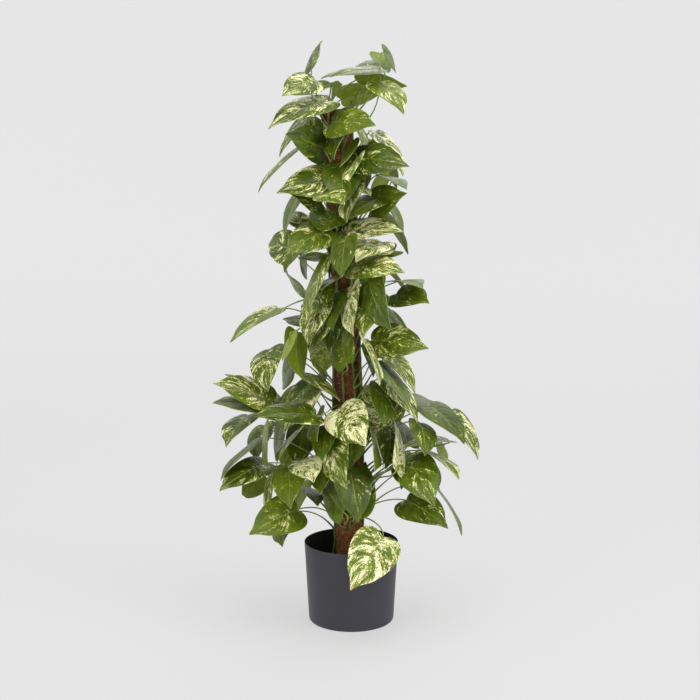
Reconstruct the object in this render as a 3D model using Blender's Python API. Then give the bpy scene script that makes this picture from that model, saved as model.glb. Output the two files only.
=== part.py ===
"""Marbled pothos climbing a coir pole in a plain round pot. Metres, +Z up, pot base at z = 0."""
import math
import random
from types import SimpleNamespace

import bmesh
import bpy
from mathutils import Vector
from mathutils.bvhtree import BVHTree

CM = 0.01

# Pot: a thin moulded shell with a plain lip, a flat base and a small rounded bottom corner.
POT_HEIGHT = 0.1545
POT_RIM_RADIUS = 0.0900
POT_BASE_RADIUS = 0.0815
POT_WALL = 0.0024
POT_FLOOR = 0.0040
POT_CORNER = 0.0050
POT_SIDES = 32

# Potting fill: the weighted soil body that holds the pole and the stem feet.
FILL_TOP = 0.0950
SEAT_GAP = 0.0003

# Coir pole: a wooden core in a coir sleeve, upright in the fill and leaning left above it.
POLE_FOOT = 0.0200
POLE_TOP = 0.9700
SLEEVE_RADIUS = 0.0250
CORE_RADIUS = 0.0140
POLE_RUNS = 10
POLE_X = -0.0045
POLE_LEAN = 0.0225
LEAN_START = 0.1500
LEAN_SPAN = 0.8200

# Stems: eight vines rise from the fill behind the pole and fan out round it.
STEM_COUNT = 8
STEM_RADIUS = 0.0026
STEM_SIDES = 5
STEM_STAND_OFF = 0.0034
STEM_FOOT_RADIUS = 0.0360
STEM_FOOT_DEPTH = 0.0250
STEM_TOPS = (0.965, 0.985, 0.950, 0.975, 0.990, 0.960, 0.980, 0.970)
FAN_LOW = 0.1800
FAN_HIGH = 0.3000
SPACING_LOW = 20.0
SPACING_HIGH = 45.0
STEM_NAMES = ("vine_front_right", "vine_right", "vine_right_back", "vine_back_right",
              "vine_back_left", "vine_left_back", "vine_left", "vine_front_left")
COLLAR_STEM = 7
COLLAR_END = 312.0
COLLAR_HIGH = 0.2250
COLLAR_DIP = 0.1870

# Leaves: a blade of leaf thickness on a thin leaf stalk.
START_LOW = 0.1700
BLADE_THICKNESS = 0.0009
STALK_RADIUS = 0.0013
BLADE_SHAPE = 0.68
GUARD_THICKNESS = 0.0020
GUARD_STALK = 0.0020
SEEN_ROWS = 4
RULE_ROWS = 3
STALK_STEPS = (0.0, 0.40, 0.78, 1.0)

# The photo's viewpoint, in the same metres: leaves are read on the upright plane through the pot
# axis and slide along the line of sight to their own depth.
EYE = Vector((-0.0025, -2.42, 0.88))

# Each row is one leaf, in centimetres on that plane:
# name, stalk end x and z, tip x and z, width as seen, stalk end nearer the viewer than the plane,
# tip leaning to (1) or from (-1) the viewer, the way the seen face turns (up, down, left, right),
# face seen (top or under), share of cream (0 to 1), true length.
LEAVES = (
    ("W20", 6.0, 16.2, -0.2, 5.5, 9.0, 10.6, 1, "up", "top", 0.60, 12.4),
    ("W1", -2.1, 41.2, 2.8, 33.9, 8.2, 8.0, 1, "up", "top", 0.75, 11.0),
    ("W2", 7.4, 39.2, 2.4, 45.8, 7.0, 7.5, -1, "right", "top", 0.60, 10.0),
    ("W3", -4.3, 36.2, -0.8, 25.6, 6.5, 7.0, 1, "left", "top", 0.35, 11.6),
    ("W5", 0.5, 20.3, 2.8, 31.0, 6.8, 6.5, -1, "up", "top", 0.10, 11.3),
    ("W17", 10.8, 31.4, 16.0, 22.2, 8.0, 5.0, 1, "right", "top", 0.15, 12.0),
    ("W18", 10.5, 23.4, 18.6, 17.8, 6.8, 5.5, 1, "up", "top", 0.10, 11.2),
    ("W26", -10.3, 21.6, -19.7, 16.6, 7.5, 5.5, 1, "up", "top", 0.15, 11.5),
    ("W23", -11.5, 30.6, -11.6, 21.6, 6.5, 6.0, 1, "left", "top", 0.10, 10.6),
    ("W24", -9.3, 31.2, -7.1, 26.8, 6.0, 5.0, 1, "up", "top", 0.85, 9.0),
    ("W6", -1.6, 21.2, -5.8, 27.6, 4.5, 5.0, -1, "left", "top", 0.02, 10.0),
    ("W21", -16.4, 30.7, -25.2, 25.2, 5.0, 3.0, 1, "up", "top", 0.20, 11.2),
    ("W11", 14.6, 41.9, 21.5, 34.3, 4.6, 3.0, 1, "right", "top", 0.02, 11.2),
    ("W12", 18.9, 40.9, 24.1, 31.3, 3.5, 0.5, 1, "right", "top", 0.35, 11.4),
    ("W9", 8.6, 29.4, 7.9, 39.2, 1.9, 6.0, -1, "right", "top", 0.80, 10.6),
    ("W10", 10.6, 34.3, 8.6, 39.2, 4.0, 2.0, -1, "up", "top", 0.02, 9.0),
    ("W7", 3.9, 37.0, 4.5, 29.0, 1.6, 5.0, 1, "right", "top", 0.10, 10.0),
    ("W8", 7.5, 29.5, 3.7, 26.3, 1.2, 6.5, 1, "up", "top", 0.05, 8.5),
    ("W14", 18.5, 35.1, 9.7, 33.6, 1.8, 4.0, 1, "up", "top", 0.50, 10.0),
    ("W16", 14.3, 33.0, 20.6, 27.5, 2.0, 3.5, 1, "up", "top", 0.40, 10.0),
    ("W15", 17.6, 34.0, 17.0, 31.6, 2.8, 2.0, 1, "down", "under", 0.05, 6.0),
    ("W19", 16.4, 25.7, 21.2, 16.4, 0.9, 2.0, 1, "right", "top", 0.05, 11.0),
    ("W25", -14.8, 29.5, -15.6, 20.3, 2.0, 3.0, 1, "left", "top", 0.50, 10.4),
    ("W22", -16.5, 28.3, -20.9, 24.4, 5.0, 0.5, 1, "down", "under", 0.02, 9.0),
    ("W27", -12.0, 20.5, -13.2, 14.1, 4.0, 2.5, 1, "left", "top", 0.03, 9.6),
    ("W28", -9.0, 26.0, -6.4, 22.2, 3.0, 3.5, 1, "up", "top", 0.05, 8.0),
    ("W4", -6.5, 40.0, -6.5, 34.8, 3.0, 4.5, 1, "left", "top", 0.05, 9.0),
    ("W13", 11.5, 42.7, 15.0, 42.8, 2.0, 0.0, -1, "up", "top", 0.02, 8.0),
    ("S8", -6.8, 39.9, -18.5, 39.7, 4.2, 6.0, 1, "up", "top", 0.12, 11.9),
    ("S6", -14.8, 42.8, -26.2, 46.1, 5.5, 3.0, 1, "up", "top", 0.35, 12.0),
    ("S7", -15.2, 41.5, -26.3, 42.3, 3.5, 5.0, 1, "up", "top", 0.15, 11.6),
    ("S5", -13.7, 42.6, -23.9, 47.8, 2.2, 0.5, 1, "up", "top", 0.20, 11.6),
    ("S1", -13.8, 60.3, -22.8, 53.9, 2.6, 2.0, 1, "up", "top", 0.20, 11.4),
    ("S2", -15.3, 52.6, -15.8, 44.5, 5.8, 3.0, 1, "left", "top", 0.30, 10.5),
    ("S3", -10.2, 55.8, -9.2, 46.8, 4.0, 3.5, 1, "right", "under", 0.00, 10.2),
    ("S4", -11.0, 50.0, -13.0, 45.0, 2.5, 1.0, -1, "left", "top", 0.02, 9.0),
    ("S9", -19.5, 40.0, -23.8, 33.8, 4.2, 1.0, 1, "left", "top", 0.25, 10.0),
    ("S10", -17.4, 35.4, -25.0, 27.2, 1.3, 1.0, 1, "left", "top", 0.00, 11.6),
    ("S11", -15.8, 39.0, -15.7, 29.8, 1.3, 3.0, 1, "left", "top", 0.05, 10.2),
    ("S12", -13.0, 38.5, -14.3, 31.0, 2.3, 2.0, -1, "left", "top", 0.02, 9.5),
    ("S13", -9.8, 37.3, -14.1, 30.8, 1.3, 5.0, 1, "up", "top", 0.40, 9.6),
    ("S14", -11.5, 55.0, -13.0, 50.5, 1.4, 3.0, 1, "left", "under", 0.05, 7.5),
    ("S15", -9.3, 48.0, -2.1, 42.6, 2.0, 5.0, 1, "up", "top", 0.35, 10.0),
    ("M22", 3.8, 54.2, 14.6, 52.7, 6.5, 6.0, 1, "up", "top", 0.20, 11.5),
    ("M18", 0.2, 64.6, 0.5, 55.0, 3.4, 7.0, 1, "left", "top", 0.70, 10.6),
    ("M19", 4.3, 62.4, 2.3, 54.9, 5.5, 8.0, 1, "up", "top", 0.35, 9.8),
    ("M15", 3.2, 65.6, 7.5, 56.2, 5.5, 6.0, 1, "left", "top", 0.05, 11.2),
    ("M20", -0.9, 49.8, -1.6, 58.4, 4.0, 6.0, -1, "left", "top", 0.08, 10.0),
    ("M21", 2.5, 54.6, 5.3, 45.6, 1.7, 7.0, 1, "right", "top", 0.60, 10.4),
    ("M23", 5.0, 50.2, 11.4, 40.8, 2.4, 6.0, 1, "right", "top", 0.10, 11.8),
    ("M10", -1.5, 74.8, 9.6, 74.7, 4.2, 6.0, 1, "up", "top", 0.50, 11.6),
    ("M3", -4.6, 75.0, -12.4, 70.3, 6.0, 6.0, 1, "up", "top", 0.20, 10.8),
    ("M1", -10.8, 71.5, -15.4, 72.4, 6.5, 2.0, -1, "left", "top", 0.25, 9.4),
    ("M2", -8.5, 75.5, -12.1, 78.4, 3.5, 0.0, -1, "up", "top", 0.50, 8.6),
    ("M4", -3.0, 75.6, -7.5, 78.8, 4.5, 6.0, -1, "up", "top", 0.10, 8.5),
    ("M5", -4.9, 70.6, -10.0, 70.0, 1.5, 4.0, -1, "down", "top", 0.02, 8.6),
    ("M6", -9.6, 69.6, -8.4, 66.3, 1.6, 3.0, -1, "right", "top", 0.02, 8.0),
    ("M7", -4.6, 69.7, -7.8, 59.2, 2.6, 6.0, 1, "left", "top", 0.20, 11.5),
    ("M8", -8.8, 63.8, -12.1, 67.6, 0.9, 3.0, -1, "left", "top", 0.10, 8.6),
    ("M9", -2.8, 66.3, -5.6, 63.6, 2.2, 7.0, 1, "up", "top", 0.40, 8.5),
    ("M11", 5.6, 72.7, 0.8, 68.9, 4.5, 7.0, 1, "up", "top", 0.75, 9.6),
    ("M12", 4.0, 70.5, 8.0, 72.6, 3.0, 4.0, -1, "up", "top", 0.20, 8.5),
    ("M13", 0.6, 67.7, 10.0, 67.0, 4.3, 7.0, 1, "up", "top", 0.35, 10.8),
    ("M14", 5.0, 70.0, 9.2, 70.9, 2.0, 3.0, -1, "up", "top", 0.05, 9.0),
    ("M16", 8.6, 65.4, 13.4, 64.1, 1.8, 4.0, 1, "up", "top", 0.05, 9.0),
    ("M17", 8.4, 63.0, 14.6, 61.3, 5.0, 4.0, 1, "up", "top", 0.10, 9.6),
    ("M24", -5.0, 55.3, -9.3, 54.8, 2.7, 3.0, -1, "up", "top", 0.02, 8.5),
    ("M25", -5.0, 57.4, -12.9, 58.3, 3.0, 3.0, -1, "up", "top", 0.30, 9.6),
    ("M26", -5.0, 59.8, -8.8, 61.5, 4.0, 2.0, -1, "up", "top", 0.02, 9.0),
    ("U3", -1.3, 84.3, -13.9, 81.8, 6.3, 6.0, 1, "up", "top", 0.45, 13.0),
    ("U4", -5.5, 79.8, -11.4, 81.7, 4.5, 3.0, 1, "up", "top", 0.15, 8.0),
    ("U15", 4.6, 80.7, -0.6, 77.0, 4.0, 6.0, 1, "up", "top", 0.05, 9.0),
    ("U8", 0.2, 88.2, 10.7, 86.6, 5.7, 6.0, 1, "up", "top", 0.12, 11.4),
    ("U14", 3.6, 79.0, 10.3, 81.8, 6.0, 5.0, 1, "up", "top", 0.12, 9.8),
    ("U2", -5.2, 89.8, -12.2, 92.6, 6.0, 5.0, 1, "up", "top", 0.03, 9.8),
    ("U1", -5.6, 89.8, -8.0, 95.9, 5.5, 3.0, -1, "left", "top", 0.40, 9.4),
    ("U12", 0.8, 83.2, -0.8, 76.3, 3.3, 7.0, 1, "left", "top", 0.60, 9.6),
    ("U5", -5.0, 81.6, -1.2, 79.6, 4.0, 5.0, 1, "up", "top", 0.25, 8.0),
    ("U6", -0.1, 90.9, -2.2, 86.6, 1.5, 6.0, 1, "left", "under", 0.05, 7.5),
    ("U7", -1.5, 94.0, -3.2, 87.9, 3.0, 5.0, 1, "left", "top", 0.02, 9.0),
    ("U9", 0.9, 88.0, -0.4, 83.9, 2.5, 7.0, 1, "left", "top", 0.50, 8.2),
    ("U10", 5.0, 85.1, 10.3, 82.4, 1.5, 3.0, 1, "up", "top", 0.05, 9.0),
    ("U11", 6.8, 84.8, 3.4, 82.0, 2.5, 0.0, 1, "right", "under", 0.05, 6.0),
    ("U13", 2.0, 82.6, 3.6, 81.2, 1.6, 6.0, 1, "up", "top", 0.90, 3.5),
    ("U16", 1.2, 94.5, 1.8, 90.5, 2.3, 5.0, 1, "right", "top", 0.20, 8.0),
    ("C3", -3.8, 98.5, -15.3, 93.4, 4.0, 5.0, 1, "up", "top", 0.70, 12.8),
    ("C2", -6.6, 102.2, -12.8, 99.4, 4.8, 4.0, 1, "up", "top", 0.60, 9.0),
    ("C13", -3.6, 94.6, 4.5, 94.1, 5.4, 6.0, 1, "up", "top", 0.30, 10.4),
    ("C11", 4.9, 101.7, 9.6, 96.1, 4.5, 4.0, 1, "up", "top", 0.30, 9.6),
    ("C10", 1.5, 101.6, 10.2, 101.2, 3.9, 2.0, 1, "down", "under", 0.10, 9.5),
    ("C1", -7.3, 104.2, -5.2, 109.3, 1.2, 2.0, -1, "left", "top", 0.10, 8.0),
    ("C4", -3.9, 101.8, -7.8, 99.6, 2.8, -2.0, -1, "down", "under", 0.02, 8.0),
    ("C5", 3.0, 104.0, -5.6, 102.5, 0.9, -1.0, 1, "up", "top", 0.03, 9.8),
    ("C6", 4.8, 104.8, -0.2, 103.9, 1.8, -2.0, -1, "up", "top", 0.03, 8.6),
    ("C7", 5.4, 104.1, -3.9, 102.8, 1.6, 1.0, 1, "up", "top", 0.10, 10.0),
    ("C8", 5.0, 105.3, 6.6, 107.0, 5.0, 0.5, -1, "down", "under", 0.05, 7.0),
    ("C9", 5.9, 107.2, 8.1, 103.6, 1.2, -2.0, -1, "right", "top", 0.05, 7.0),
    ("C14", -3.6, 99.0, -1.6, 101.6, 2.0, 2.0, -1, "down", "under", 0.05, 6.5),
    ("C15", -1.8, 98.8, 6.8, 101.0, 4.2, -1.5, 1, "down", "under", 0.05, 9.5),
    ("D20", -9.0, 38.0, -10.0, 29.5, 6.0, -2.0, 1, "left", "top", 0.05, 9.5),
    ("D22", 10.0, 33.0, 9.5, 25.5, 5.0, -1.0, 1, "right", "top", 0.05, 9.0),
    ("D23", 14.0, 31.0, 15.0, 24.0, 5.0, -2.0, 1, "right", "top", 0.10, 9.0),
    ("D24", 13.0, 38.5, 14.0, 32.0, 4.5, -2.0, 1, "right", "top", 0.05, 8.5),
    ("D26", -5.0, 31.0, -6.0, 24.5, 4.5, 0.0, 1, "left", "top", 0.05, 8.0),
    ("D27", -4.5, 38.0, -5.5, 31.0, 4.5, 1.5, 1, "left", "top", 0.05, 8.5),
    ("D2", 7.5, 37.5, 6.5, 29.5, 5.0, 2.5, 1, "right", "top", 0.10, 9.0),
    ("D7", -4.0, 33.0, -5.0, 26.0, 5.0, 3.0, 1, "left", "top", 0.05, 8.5),
    ("D9", -16.5, 38.0, -18.0, 31.0, 4.5, 0.0, 1, "left", "top", 0.10, 9.0),
    ("D10", 5.5, 45.5, 6.0, 38.0, 4.5, 3.0, 1, "right", "top", 0.05, 9.0),
    ("D11", -6.5, 47.5, -7.5, 40.5, 4.5, 2.0, 1, "left", "top", 0.05, 9.0),
    ("D12", -1.0, 73.5, -1.8, 66.0, 4.5, 4.0, 1, "left", "top", 0.05, 8.5),
    ("D14", -3.0, 63.0, -3.4, 56.0, 4.5, 4.0, 1, "left", "top", 0.05, 8.5),
)

# Leaves the photo hides or shows only in part: a seeded rule spreads them over the back of the
# pole (centre bearing 90) and, closer in, behind the leaves of the front (centre bearing 270).
# Each row: letter, count, centre bearing, spread each way, lowest and highest, nearest distance
# from the pole's centre and the room beyond it, 1 where the skirt flares them out, least droop
# in degrees, shortest and longest blade, seed.
RULE_LEAVES = (
    ("H", 14, 270.0, 40.0, 0.400, 0.960, 0.037, 0.008, 0, 66.0, 0.060, 0.078, 23),
    ("F", 26, 270.0, 88.0, 0.330, 0.985, 0.048, 0.030, 1, 45.0, 0.085, 0.112, 11),
    ("K", 12, 270.0, 84.0, 0.290, 0.430, 0.038, 0.030, 0, 60.0, 0.070, 0.092, 29),
    ("B", 20, 90.0, 68.0, 0.225, 0.985, 0.060, 0.030, 1, 20.0, 0.085, 0.112, 7),
)
SKIRT_TOP = 0.42
SKIRT_END = 0.56
POLE_SHOWN = (0.425, 0.515)

# Tries of the rule that bends a leaf clear of the others: slides along the line of sight.
SLIDES = (0.0, 0.8, -0.8, 1.6, -1.6, 2.6, -2.6, 3.8, -3.8, 5.2, -5.2, 6.8, -6.8, 8.4)
RULE_DRAWS = 60
START_TRIES = 16
STALK_BENDS = ((0.35, 0.45, 0.28, 0.10), (0.55, 0.20, 0.28, 0.16), (0.35, 0.65, 0.30, 0.05),
               (0.45, 0.05, 0.45, 0.20), (0.30, -0.25, 0.40, 0.10))
FACE_TURNS = {"up": Vector((0, 0, 1)), "down": Vector((0, 0, -1)),
              "left": Vector((-1, 0, 0)), "right": Vector((1, 0, 0))}


def clear_scene():
    """Remove whatever the start-up file holds."""
    for item in list(bpy.data.objects):
        bpy.data.objects.remove(item, do_unlink=True)


def make_collection(name):
    """Add an empty collection to the scene."""
    collection = bpy.data.collections.new(name)
    bpy.context.scene.collection.children.link(collection)
    return collection


def make_material(name, color, roughness):
    """Return a plain Principled material."""
    material = bpy.data.materials.new(name)
    material.use_nodes = True
    shader = material.node_tree.nodes["Principled BSDF"]
    shader.inputs["Base Color"].default_value = (*color, 1.0)
    shader.inputs["Roughness"].default_value = roughness
    return material


def add_object(name, bm, collection, material=None):
    """Write a bmesh into a new object with its faces turned outward."""
    bmesh.ops.recalc_face_normals(bm, faces=bm.faces)
    mesh = bpy.data.meshes.new(name)
    bm.to_mesh(mesh)
    bm.free()
    item = bpy.data.objects.new(name, mesh)
    collection.objects.link(item)
    if material:
        mesh.materials.append(material)
    return item


def turned(profile, sides):
    """Spin a closed radius-height outline about the Z axis."""
    bm = bmesh.new()
    points = [bm.verts.new((radius, 0.0, height)) for radius, height in profile]
    edges = [bm.edges.new((a, b)) for a, b in zip(points, points[1:])]
    bmesh.ops.spin(bm, geom=points + edges, cent=(0, 0, 0), axis=(0, 0, 1),
                   angle=math.tau, steps=sides, use_merge=True)
    bmesh.ops.remove_doubles(bm, verts=bm.verts, dist=0.00001)
    return bm


def tube(points, radii, sides):
    """Build a closed round tube along a list of points."""
    bm = bmesh.new()
    rings = []
    across = Vector((1.0, 0.0, 0.0))
    for index, point in enumerate(points):
        before = points[max(index - 1, 0)]
        after = points[min(index + 1, len(points) - 1)]
        along = (after - before).normalized()
        across = (across - along * across.dot(along)).normalized()
        other = along.cross(across)
        ring = []
        for side in range(sides):
            angle = math.tau * side / sides
            offset = across * math.cos(angle) + other * math.sin(angle)
            ring.append(bm.verts.new(point + offset * radii[index]))
        rings.append(ring)
    for ring, following in zip(rings, rings[1:]):
        for side in range(sides):
            far = (side + 1) % sides
            bm.faces.new((ring[side], ring[far], following[far], following[side]))
    bm.faces.new(rings[0])
    bm.faces.new(rings[-1])
    return bm


def pole_axis(height):
    """Centre of the pole at a height: upright at the foot, leaning left above."""
    rise = max(height - LEAN_START, 0.0) / LEAN_SPAN
    return Vector((POLE_X - POLE_LEAN * rise * rise, 0.0, height))


def pole_points(low, high, steps):
    """Evenly spaced points along the pole's centre line."""
    return [pole_axis(low + (high - low) * step / steps) for step in range(steps + 1)]


def smooth(value):
    """Ease from 0 to 1."""
    value = min(max(value, 0.0), 1.0)
    return value * value * (3.0 - 2.0 * value)


def stem_angle(index, height):
    """Bearing of a stem round the pole, in degrees: 90 is the back, 270 the front."""
    share = smooth((height - FAN_LOW) / (FAN_HIGH - FAN_LOW))
    spacing = SPACING_LOW + (SPACING_HIGH - SPACING_LOW) * share
    wander = 9.0 * share * math.sin(height * 19.0 + index * 1.7)
    return 90.0 + (index - (STEM_COUNT - 1) / 2.0) * spacing + wander


def round_pole(bearing, height, radius):
    """Point beside the pole at a bearing, height and distance from its centre line."""
    angle = math.radians(bearing)
    return pole_axis(height) + Vector((math.cos(angle), math.sin(angle), 0.0)) * radius


def stem_point(index, height):
    """Centre of a stem at a height: close to the sleeve, splayed out at the foot."""
    splay = smooth((0.150 - height) / 0.045)
    close = SLEEVE_RADIUS + STEM_STAND_OFF
    return round_pole(stem_angle(index, height), height, close + (STEM_FOOT_RADIUS - close) * splay)


def stem_path(index):
    """Points along one stem from its foot in the fill to its top."""
    height = FILL_TOP - STEM_FOOT_DEPTH
    heights = [height, FILL_TOP + 0.006]
    while heights[-1] < STEM_TOPS[index] - 0.06:
        heights.append(heights[-1] + (0.022 if heights[-1] < FAN_HIGH else 0.056))
    heights.append(STEM_TOPS[index])
    return [stem_point(index, value) for value in heights]


def collar_point(share):
    """Side shoot of the left front stem that dips round the front of the pole."""
    start = stem_angle(COLLAR_STEM, COLLAR_HIGH)
    bearing = start + (COLLAR_END - start) * share
    dip = math.sin(math.pi * min(share * 0.86, 1.0))
    height = COLLAR_HIGH - (COLLAR_HIGH - COLLAR_DIP) * dip
    return round_pole(bearing, height, SLEEVE_RADIUS + STEM_STAND_OFF)


def collar_path():
    """Points along the side shoot."""
    return [collar_point(step / 8.0) for step in range(9)]


def along_path(path, spacing):
    """Evenly spaced points on the straight runs of a path, its ends left out."""
    points = []
    for a, b in zip(path, path[1:]):
        count = max(round((b - a).length / spacing), 1)
        points += [a.lerp(b, (step + 0.5) / count) for step in range(count)]
    return points


def stalk_starts():
    """Every place on the stems where a leaf stalk may start, with its stem's number."""
    starts = []
    for index in range(STEM_COUNT):
        points = along_path(stem_path(index), 0.010)[:-1]
        starts += [(index, point) for point in points if point.z > START_LOW]
    starts += [(COLLAR_STEM, point) for point in along_path(collar_path()[2:], 0.012)]
    return starts


def on_sight(x, z, near):
    """Point on the viewer's line through plane point (x, z), brought nearer by so much."""
    foot = Vector((x, 0.0, z))
    return foot + (EYE - foot) * (near / -EYE.y)


def reach(start, x, z, length, lean):
    """Point on the viewer's line through (x, z) one leaf length away from the start."""
    foot = Vector((x, 0.0, z))
    ray = (EYE - foot).normalized()
    gap = foot - start
    middle = gap.dot(ray)
    inside = middle * middle - gap.length_squared + length * length
    return foot + ray * (lean * math.sqrt(max(inside, 0.0)) - middle)


def frame_leaf(name, base, tip, normal, width, cream, rows):
    """Collect a leaf's place: midrib direction, upper-face normal and sideways direction."""
    along = (tip - base).normalized()
    normal = (normal - along * normal.dot(along)).normalized()
    chance = random.Random(name)
    return SimpleNamespace(
        name=name, base=base, length=(tip - base).length, along=along, normal=normal,
        side=along.cross(normal), width=width, cream=cream, rows=rows,
        arch=chance.uniform(0.03, 0.08), fold=chance.uniform(0.12, 0.28),
        wave=chance.uniform(0.010, 0.022), phase=chance.uniform(0.0, math.tau))


def seen_leaf(row, slide):
    """Place a leaf of the table, slid along the line of sight."""
    name, x0, z0, x1, z1, seen, near, lean, turn, face, cream, length = row
    base = on_sight(x0 * CM, z0 * CM, (near + slide) * CM)
    tip = reach(base, x1 * CM, z1 * CM, length * CM, lean)
    width = max(BLADE_SHAPE * (tip - base).length, seen * CM)
    along = (tip - base).normalized()
    view = (EYE - base).normalized()
    flat = (view - along * view.dot(along)).normalized()
    roll = math.acos(min(seen * CM / width, 1.0))
    options = [flat * math.cos(roll) + along.cross(flat) * math.sin(sign * roll) for sign in (1, -1)]
    normal = max(options, key=lambda option: option.dot(FACE_TURNS[turn]))
    if face == "under":
        normal = -normal
    return frame_leaf(name, base, tip, normal, width, cream, SEEN_ROWS if seen > 4.0 else RULE_ROWS)


def rule_leaf(rule, number, draw):
    """Place one leaf by the seeded rule, wide out in the skirt and close in above it."""
    letter, count, middle, spread, low, high, near, room, flare, steep, short, full, seed = rule
    chance = random.Random(seed * 100000 + number * 100 + draw)
    height = low + (high - low) * (number + chance.uniform(-0.5, 0.5) * (1.0 + 0.05 * draw)) / count
    bearing = middle + spread * math.sin(number * 2.4) + chance.uniform(-8.0, 8.0) * (1.0 + 0.1 * draw)
    skirt = 1.0 - smooth((height - SKIRT_TOP) / (SKIRT_END - SKIRT_TOP))
    distance = near + chance.uniform(0.0, room) + (0.020 + 0.030 * chance.random()) * skirt * flare
    if letter != "B" and POLE_SHOWN[0] < height < POLE_SHOWN[1] + 0.06:
        bearing = middle + math.copysign(62.0, math.sin(number * 2.4))
    droop = math.radians(chance.uniform(steep, 80.0))
    swing = math.radians(bearing + chance.uniform(-25.0, 25.0))
    outward = Vector((math.cos(swing), math.sin(swing), 0.0))
    up = Vector((0.0, 0.0, 1.0))
    base = round_pole(bearing, height, distance)
    along = outward * math.cos(droop) - up * math.sin(droop)
    normal = outward * math.sin(droop) + up * math.cos(droop)
    length = chance.uniform(short, full)
    cream = chance.choice((0.02, 0.05, 0.1, 0.2, 0.35, 0.55))
    tip = base + along * length
    return frame_leaf(f"{letter}{number}", base, tip, normal, length * 0.72, cream, RULE_ROWS)


def blade_point(leaf, along, across):
    """Point of the blade: along runs 0 to 1 to the tip, across -1 to 1 from edge to edge."""
    turn = math.pi * along
    slim = 1.0 - 0.30 * smooth((along - 0.68) / 0.12)
    edge = 0.65 * leaf.width * slim * math.sin(turn) * max(math.cos(turn / 2.0), 0.0) ** 0.9
    back = 0.33 * leaf.length * math.sin(turn) * (1.0 - along) ** 2
    edge_y = leaf.length * (1.0 - math.cos(turn)) / 2.0 - back
    rib_y = leaf.length * along ** 1.25
    x = across * edge
    y = rib_y + (edge_y - rib_y) * abs(across) ** 1.3
    share = y / leaf.length
    half = leaf.width / 2.0
    lift = leaf.arch * leaf.length * 4.0 * share * (1.0 - share)
    lift += leaf.fold * abs(x) * (1.0 - 0.9 * abs(x) / half)
    swing = math.sin(leaf.phase + 9.0 * along + (1.4 if across > 0 else 0.0))
    lift += leaf.wave * leaf.length * across * across * math.sin(turn) * swing
    return leaf.base + leaf.side * x + leaf.along * y + leaf.normal * lift


def stalk_curve(start, out, leaf, bend):
    """Control points of a leaf stalk from its stem to the blade's notch."""
    reach_out, rise, run_in, under = bend
    span = (leaf.base - start).length
    first = start + (out * reach_out + Vector((0, 0, rise))) * span
    run_in = min(run_in * span, 0.026)
    under = min(under * span, 0.014)
    return start, first, leaf.base - leaf.along * run_in - leaf.normal * under, leaf.base


def curve_point(curve, share):
    """Point on a cubic curve."""
    rest = 1.0 - share
    a, b, c, d = curve
    return (a * rest ** 3 + b * (3.0 * rest * rest * share)
            + c * (3.0 * rest * share * share) + d * share ** 3)


def stalk_rings(leaf, curve, radius):
    """Four-cornered rings along the stalk; the last one opens into the blade's notch."""
    centres = [curve_point(curve, share) for share in STALK_STEPS]
    rings = []
    upward = leaf.normal
    for index in range(len(centres) - 1, -1, -1):
        before = centres[max(index - 1, 0)]
        after = centres[min(index + 1, len(centres) - 1)]
        heading = leaf.along if index == len(centres) - 1 else (after - before).normalized()
        upward = (upward - heading * upward.dot(heading)).normalized()
        sideways = heading.cross(upward)
        spokes = (upward, sideways, -upward, -sideways)
        rings.append([centres[index] + spoke * radius for spoke in spokes])
    return rings[::-1]


def blade_rows(leaf, thickness):
    """Top and bottom corners of each crosswise row of the blade."""
    half = leaf.normal * (thickness / 2.0)
    result = []
    for row in range(1, leaf.rows + 1):
        share = row / (leaf.rows + 1.0)
        corners = []
        for across in (-1.0, 0.0, 1.0):
            point = blade_point(leaf, share, across)
            corners += [point + half, point - half]
        result.append(corners)
    return result


def blade_faces(first, rows):
    """Faces of the blade: first is the notch ring's start, each row has six corners."""
    top, right, under, left = first, first + 1, first + 2, first + 3
    row = first + 4
    lt, lb, mt, mb, rt, rb = range(row, row + 6)
    faces = [(top, left, lt), (top, lt, mt), (top, mt, rt), (top, rt, right)]
    faces += [(under, left, lb), (under, lb, mb), (under, mb, rb), (under, rb, right)]
    faces += [(left, lt, lb), (right, rt, rb)]
    for _ in range(rows - 1):
        lt, lb, mt, mb, rt, rb = range(row, row + 6)
        for a, b in ((lt, mt), (mt, rt), (lb, mb), (mb, rb), (lt, lb), (rt, rb)):
            faces += [(a, b, b + 6), (a, b + 6, a + 6)]
        row += 6
    lt, lb, mt, mb, rt, rb = range(row, row + 6)
    tip = row + 6
    faces += [(lt, mt, tip), (mt, rt, tip), (lb, mb, tip), (mb, rb, tip), (lt, lb, tip), (rt, rb, tip)]
    return faces


def stalk_faces(rings):
    """Faces of the stalk, closed at its stem end."""
    faces = [(0, 1, 2, 3)]
    for ring in range(rings - 1):
        for side in range(4):
            a = ring * 4 + side
            b = ring * 4 + (side + 1) % 4
            faces += [(a, b, b + 4), (a, b + 4, a + 4)]
    return faces


def leaf_shape(leaf, curve, thickness, radius):
    """Corners and faces of a whole leaf, stalk and blade in one closed shell."""
    points = [point for ring in stalk_rings(leaf, curve, radius) for point in ring]
    first = len(points) - 4
    for corners in blade_rows(leaf, thickness):
        points += corners
    points.append(blade_point(leaf, 1.0, 0.0))
    return points, stalk_faces(len(STALK_STEPS)) + blade_faces(first, leaf.rows)


def guard_of(points, faces, owner):
    """Overlap guard of a shape, with its bounds and the stem it belongs to."""
    low = [min(point[axis] for point in points) for axis in range(3)]
    high = [max(point[axis] for point in points) for axis in range(3)]
    return SimpleNamespace(tree=BVHTree.FromPolygons(points, faces), low=low, high=high, owner=owner)


def bm_guard(bm, owner):
    """Overlap guard of a bmesh, which is then freed."""
    bm.verts.index_update()
    points = [vert.co.copy() for vert in bm.verts]
    faces = [[vert.index for vert in face.verts] for face in bm.faces]
    bm.free()
    return guard_of(points, faces, owner)


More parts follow.
